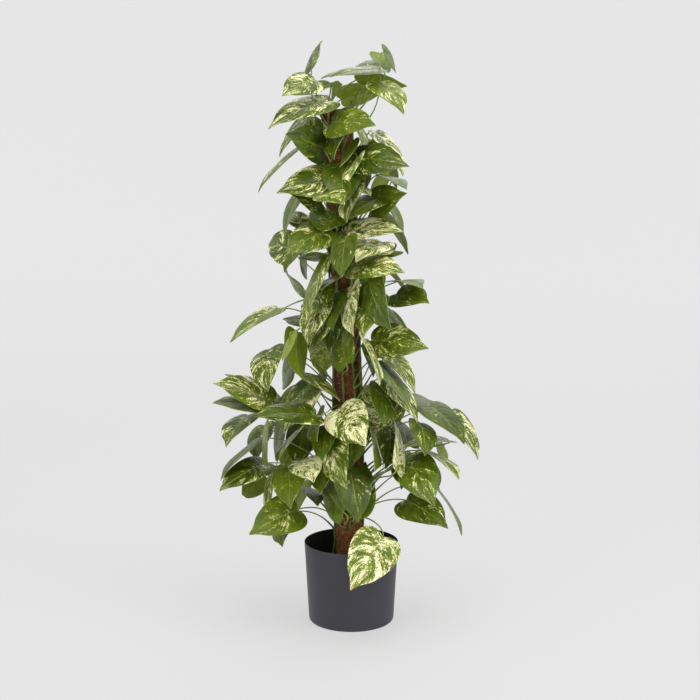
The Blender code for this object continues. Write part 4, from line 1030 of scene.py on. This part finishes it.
def place_leaves():
    """Place every leaf in turn clear of those before it; a leaf that finds no clear place is left
    out.
    """
    starts = stalk_starts()
    placed = fixed_guards()
    leaves = []
    jobs = [(SLIDES, partial(seen_leaf, row)) for row in LEAVES]
    jobs += [(range(RULE_DRAWS), partial(rule_leaf, rule, number))
             for rule in RULE_LEAVES for number in range(rule[1])]
    for tries, place in jobs:
        found = settle(place, tries, starts, placed)
        if found:
            placed.append(found.guard)
            leaves.append(found)
    return leaves


# The leaf's finish: a waxy heart-shaped blade, dark to mid green, marbled with cream in streaks
# that follow the side veins out from the midrib. The underside is paler and yellower.
VEINS = 11.0


def leaf_marks(tree):
    """A leaf's own cream limit, seed and tone, as the outputs X, Y and Z; the tone is partly
    painted light and shade.
    """
    mark = step_node(tree, "ShaderNodeAttribute", [("attribute_name", "leaf_mark")])
    return step_node(tree, "ShaderNodeSeparateXYZ", Vector=mark.outputs["Vector"]).outputs


def marbling_group():
    """Cream, lime and dark masks and the vein relief of a blade, laid out along its veins."""
    group = bpy.data.node_groups.new("leaf_marbling", "ShaderNodeTree")
    group.interface.new_socket(name="Veins", in_out="INPUT", socket_type="NodeSocketFloat")
    for name in ("Cream", "Lime", "Dark", "Rib", "Relief"):
        group.interface.new_socket(name=name, in_out="OUTPUT", socket_type="NodeSocketFloat")
    veins = group.nodes.new("NodeGroupInput").outputs["Veins"]
    masks = group.nodes.new("NodeGroupOutput").inputs
    calc = partial(reckon, group)
    ease = partial(between, group)
    lay = step_node(group, "ShaderNodeUVMap", [("uv_map", "leaf_lay")]).outputs["UV"]
    lay = step_node(group, "ShaderNodeSeparateXYZ", Vector=lay).outputs
    mark = leaf_marks(group)
    out = calc("ABSOLUTE", calc("MULTIPLY_ADD", lay["X"], 2.0, -1.0))
    half = calc("GREATER_THAN", lay["X"], 0.5)
    tilt = ease(lay["Y"], 0.0, 0.5, 0.02, 0.24)
    vein = calc("SUBTRACT", lay["Y"], calc("MULTIPLY", out, tilt))
    seed = calc("MULTIPLY_ADD", half, 9.7, calc("MULTIPLY", mark["Y"], 61.0))

    def streaks(across_veins, outward, shift, detail, roughness):
        place = step_node(group, "ShaderNodeCombineXYZ", X=calc("MULTIPLY", vein, across_veins),
                          Y=calc("MULTIPLY", out, outward), Z=calc("ADD", seed, shift))
        return mottle(group, place.outputs["Vector"], 1.0, detail, roughness)

    broad = streaks(8.0, 1.3, 0.0, 2.0, 0.5)
    narrow = streaks(34.0, 3.4, 3.3, 3.0, 0.6)
    fleck = streaks(88.0, 20.0, 7.1, 2.0, 0.6)
    value = calc("MULTIPLY_ADD", broad, 0.38, calc("MULTIPLY", narrow, 0.38))
    value = calc("MULTIPLY_ADD", fleck, 0.32, value)
    over = calc("SUBTRACT", value, mark["X"])
    lime = calc("MULTIPLY_ADD", streaks(44.0, 9.0, 5.2, 3.0, 0.6), 0.16, over)
    feed(group, masks["Cream"], ease(over, -0.006, 0.008))
    feed(group, masks["Lime"], ease(lime, 0.03, 0.075))
    feed(group, masks["Dark"], ease(streaks(9.0, 2.0, 12.5, 3.0, 0.6), 0.38, 0.62))
    feed(group, masks["Rib"], ease(out, 0.016, 0.042, 1.0, 0.0))
    off = calc("ABSOLUTE", calc("SUBTRACT", calc("FRACT", calc("MULTIPLY", vein, veins)), 0.5))
    pillow = calc("MULTIPLY_ADD", off, 0.5, calc("MULTIPLY", ease(off, 0.0, 0.16), 0.5))
    rise = calc("MULTIPLY", pillow, ease(out, 0.75, 1.0, 1.0, 0.25))
    feed(group, masks["Relief"], calc("MULTIPLY", rise, ease(out, 0.0, 0.08, 0.2, 1.0)))
    return group


MARBLING = marbling_group()


def leaf_finish(name, dark, mid, lime, cream, rib, roughness, lift, faint):
    """A blade's skin; lift is the depth of its veins, faint how weakly the marbling shows."""
    material, tree, shader, place = finish(name, mid, roughness, 0.33)
    calc = partial(reckon, tree)
    masks = step_node(tree, "ShaderNodeGroup", [("node_tree", MARBLING)], Veins=VEINS).outputs
    # The tone deepens a leaf's green, partly as painted shade.
    tone = calc("MULTIPLY", leaf_marks(tree)["Z"], 0.55)
    depth = calc("MULTIPLY_ADD", masks["Dark"], 0.45, tone)
    skin = shade(tree, depth, mid, dark)
    for mask, strength, colour in (("Lime", 1.0 - faint, lime), ("Rib", 0.7, rib),
                                   ("Cream", 1.0 - faint, cream)):
        skin = shade(tree, calc("MULTIPLY", masks[mask], strength), skin, colour)
    feed(tree, shader.inputs["Base Color"], skin)
    wax = mottle(tree, place, 130.0, 2.0)
    feed(tree, shader.inputs["Roughness"],
         between(tree, wax, 0.3, 0.7, roughness - 0.05, roughness + 0.07))
    raise_surface(tree, shader, calc("MULTIPLY_ADD", wax, 0.15, masks["Relief"]), lift, 0.0009)
    return material


leaf_top = leaf_finish("leaf_upper_face", (49, 66, 11), (103, 122, 14), (164, 174, 56),
                       (252, 247, 196), (142, 154, 54), 0.36, 0.5, 0.0)
leaf_under = leaf_finish("leaf_under_face", (100, 120, 18), (136, 152, 26), (172, 180, 62),
                         (224, 218, 146), (170, 180, 60), 0.5, -0.6, 0.35)

leaf_rim, tree, shader, place = finish("leaf_rim", (120, 146, 76), 0.45)
pale = between(tree, mottle(tree, place, 60.0), 0.35, 0.65)
tint(tree, shader, pale, (92, 118, 56), (150, 170, 104))

stalk_green, tree, shader, place = finish("stalk_green", (128, 150, 60), 0.42)
pale = between(tree, mottle(tree, place, 34.0, 3.0), 0.35, 0.65)
tint(tree, shader, pale, (94, 120, 44), (150, 168, 76))
raise_surface(tree, shader, mottle(tree, place, 900.0), 0.1, 0.0003)


# The vines: a stem and all its leaves, one growing piece each. A leaf is a thin heart-shaped blade
# on a round stalk, thicker where it leaves the stem, that runs on under the blade as its midrib.
BLADE_ACROSS = 14
BLADE_ALONG = 26
STALK_RUNS = 16
STALK_SIDES = 8
RIB_RUNS = 8
RIB_SHARE = 0.78


def blade_into(bm, leaf):
    """Shape a grid as the blade's upper face, copy it below, and close the rim between them."""
    bmesh.ops.create_grid(bm, x_segments=BLADE_ACROSS, y_segments=BLADE_ALONG, size=0.5,
                          calc_uvs=True)
    half = leaf.normal * (BLADE_THICKNESS / 2.0)
    for vert in bm.verts:
        vert.co = blade_point(leaf, vert.co.y + 0.5, vert.co.x * 2.0) + half
    bmesh.ops.remove_doubles(bm, verts=bm.verts, dist=0.000001)
    copied = bmesh.ops.duplicate(bm, geom=bm.verts[:] + bm.edges[:] + bm.faces[:])["geom"]
    bmesh.ops.translate(bm, vec=-2.0 * half,
                        verts=[item for item in copied if isinstance(item, bmesh.types.BMVert)])
    under = [item for item in copied if isinstance(item, bmesh.types.BMFace)]
    bmesh.ops.reverse_faces(bm, faces=under)
    for face in under:
        face.material_index = 1
    rims = [edge for edge in bm.edges if edge.is_boundary]
    for edge in rims:
        edge.smooth = False
    for face in bmesh.ops.bridge_loops(bm, edges=rims)["faces"]:
        face.material_index = 2


def stalk_into(bm, entry):
    """Draw the stalk out along its curve and on under the blade as a tapering midrib."""
    before = set(bm.faces)
    leaf = entry.leaf
    centres = [curve_point(entry.curve, step / STALK_RUNS) for step in range(STALK_RUNS + 1)]
    radii = [STALK_RADIUS * (0.95 + 0.65 * (1.0 - smooth(step / (0.3 * STALK_RUNS))))
             for step in range(STALK_RUNS + 1)]
    for step in range(1, RIB_RUNS + 1):
        radii.append(STALK_RADIUS * (0.9 - 0.8 * step / RIB_RUNS))
        rib = blade_point(leaf, RIB_SHARE * step / RIB_RUNS, 0.0)
        centres.append(rib - leaf.normal * (radii[-1] - 0.0001))
    drawn_along(bm, centres, radii, STALK_SIDES)
    for face in bm.faces:
        if face not in before:
            face.material_index = 3


# Leaves painted a pale green or a deep green, partly for their own green and partly as painted
# light and painted shade; the others lie in between.
PALE_LIT_LEAVES = ("W20", "W26", "W23", "W5", "M17", "M16", "S5", "S1", "U14", "C13", "C11", "W9", "M7",
               "S14")
DEEP_SHADED_LEAVES = ("S8", "W11", "W18", "W21", "M15", "U3", "U2", "U7", "W10", "S7", "C5", "C6", "C7",
               "M1", "C1", "C2", "C3", "U8")


def leaf_green_and_shade(leaf):
    """Depth of a leaf's green, partly painted light and shade, from 0 for the palest to 1 for the
    deepest.
    """
    share = random.Random("tone " + leaf.name).random()
    if leaf.name in PALE_LIT_LEAVES:
        return 0.15 * share
    if leaf.name in DEEP_SHADED_LEAVES:
        return 0.80 + 0.20 * share
    return 0.15 + 0.75 * share


# The least share of cream, its range, and the mean and spread of the marbling's values, which
# together set the limit above which a blade turns cream.
CREAM_LEAST = 0.010
CREAM_RANGE = 0.64
FIGURE_MEAN = 0.54
FIGURE_SPREAD = 0.073


def leaf_mesh(entry):
    """One whole leaf as a small mesh of its own, marked with its cream, seed and tone."""
    bm = bmesh.new()
    bm.loops.layers.uv.new("leaf_lay")
    layer = bm.verts.layers.float_vector.new("leaf_mark")
    blade_into(bm, entry.leaf)
    stalk_into(bm, entry)
    share = CREAM_LEAST + CREAM_RANGE * entry.leaf.cream
    limit = statistics.NormalDist(FIGURE_MEAN, FIGURE_SPREAD).inv_cdf(1.0 - share)
    seed = random.Random("mark " + entry.leaf.name).random()
    mark = Vector((limit, seed, leaf_green_and_shade(entry.leaf)))
    for vert in bm.verts:
        vert[layer] = mark
    mesh = bpy.data.meshes.new("leaf")
    bm.to_mesh(mesh)
    bm.free()
    return mesh


leaves = place_leaves()
print("leaves placed", len(leaves))
for index, name in enumerate(STEM_NAMES):
    vine = bmesh.new()
    vine.loops.layers.uv.new("leaf_lay")
    vine.verts.layers.float_vector.new("leaf_mark")
    path = stem_path(index)
    path = path[:1] + cut_runs(path, 0.010, 1.0)
    drawn_along(vine, path, jointed(len(path), STEM_RADIUS, STEM_RADIUS * 0.75, index), 10)
    if index == COLLAR_STEM:
        path = collar_path(32)
        drawn_along(vine, path, jointed(len(path), STEM_RADIUS * 0.85, STEM_RADIUS * 0.7, 40), 8)
    for face in vine.faces:
        face.material_index = 4
    for entry in leaves:
        if entry.owner == index:
            mesh = leaf_mesh(entry)
            vine.from_mesh(mesh)
            bpy.data.meshes.remove(mesh)
    vine = piece(name + "_grown", vine, leaf_top, leaf_under, leaf_rim, stalk_green, stem_skin)
    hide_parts(name)
    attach(vine, "root")
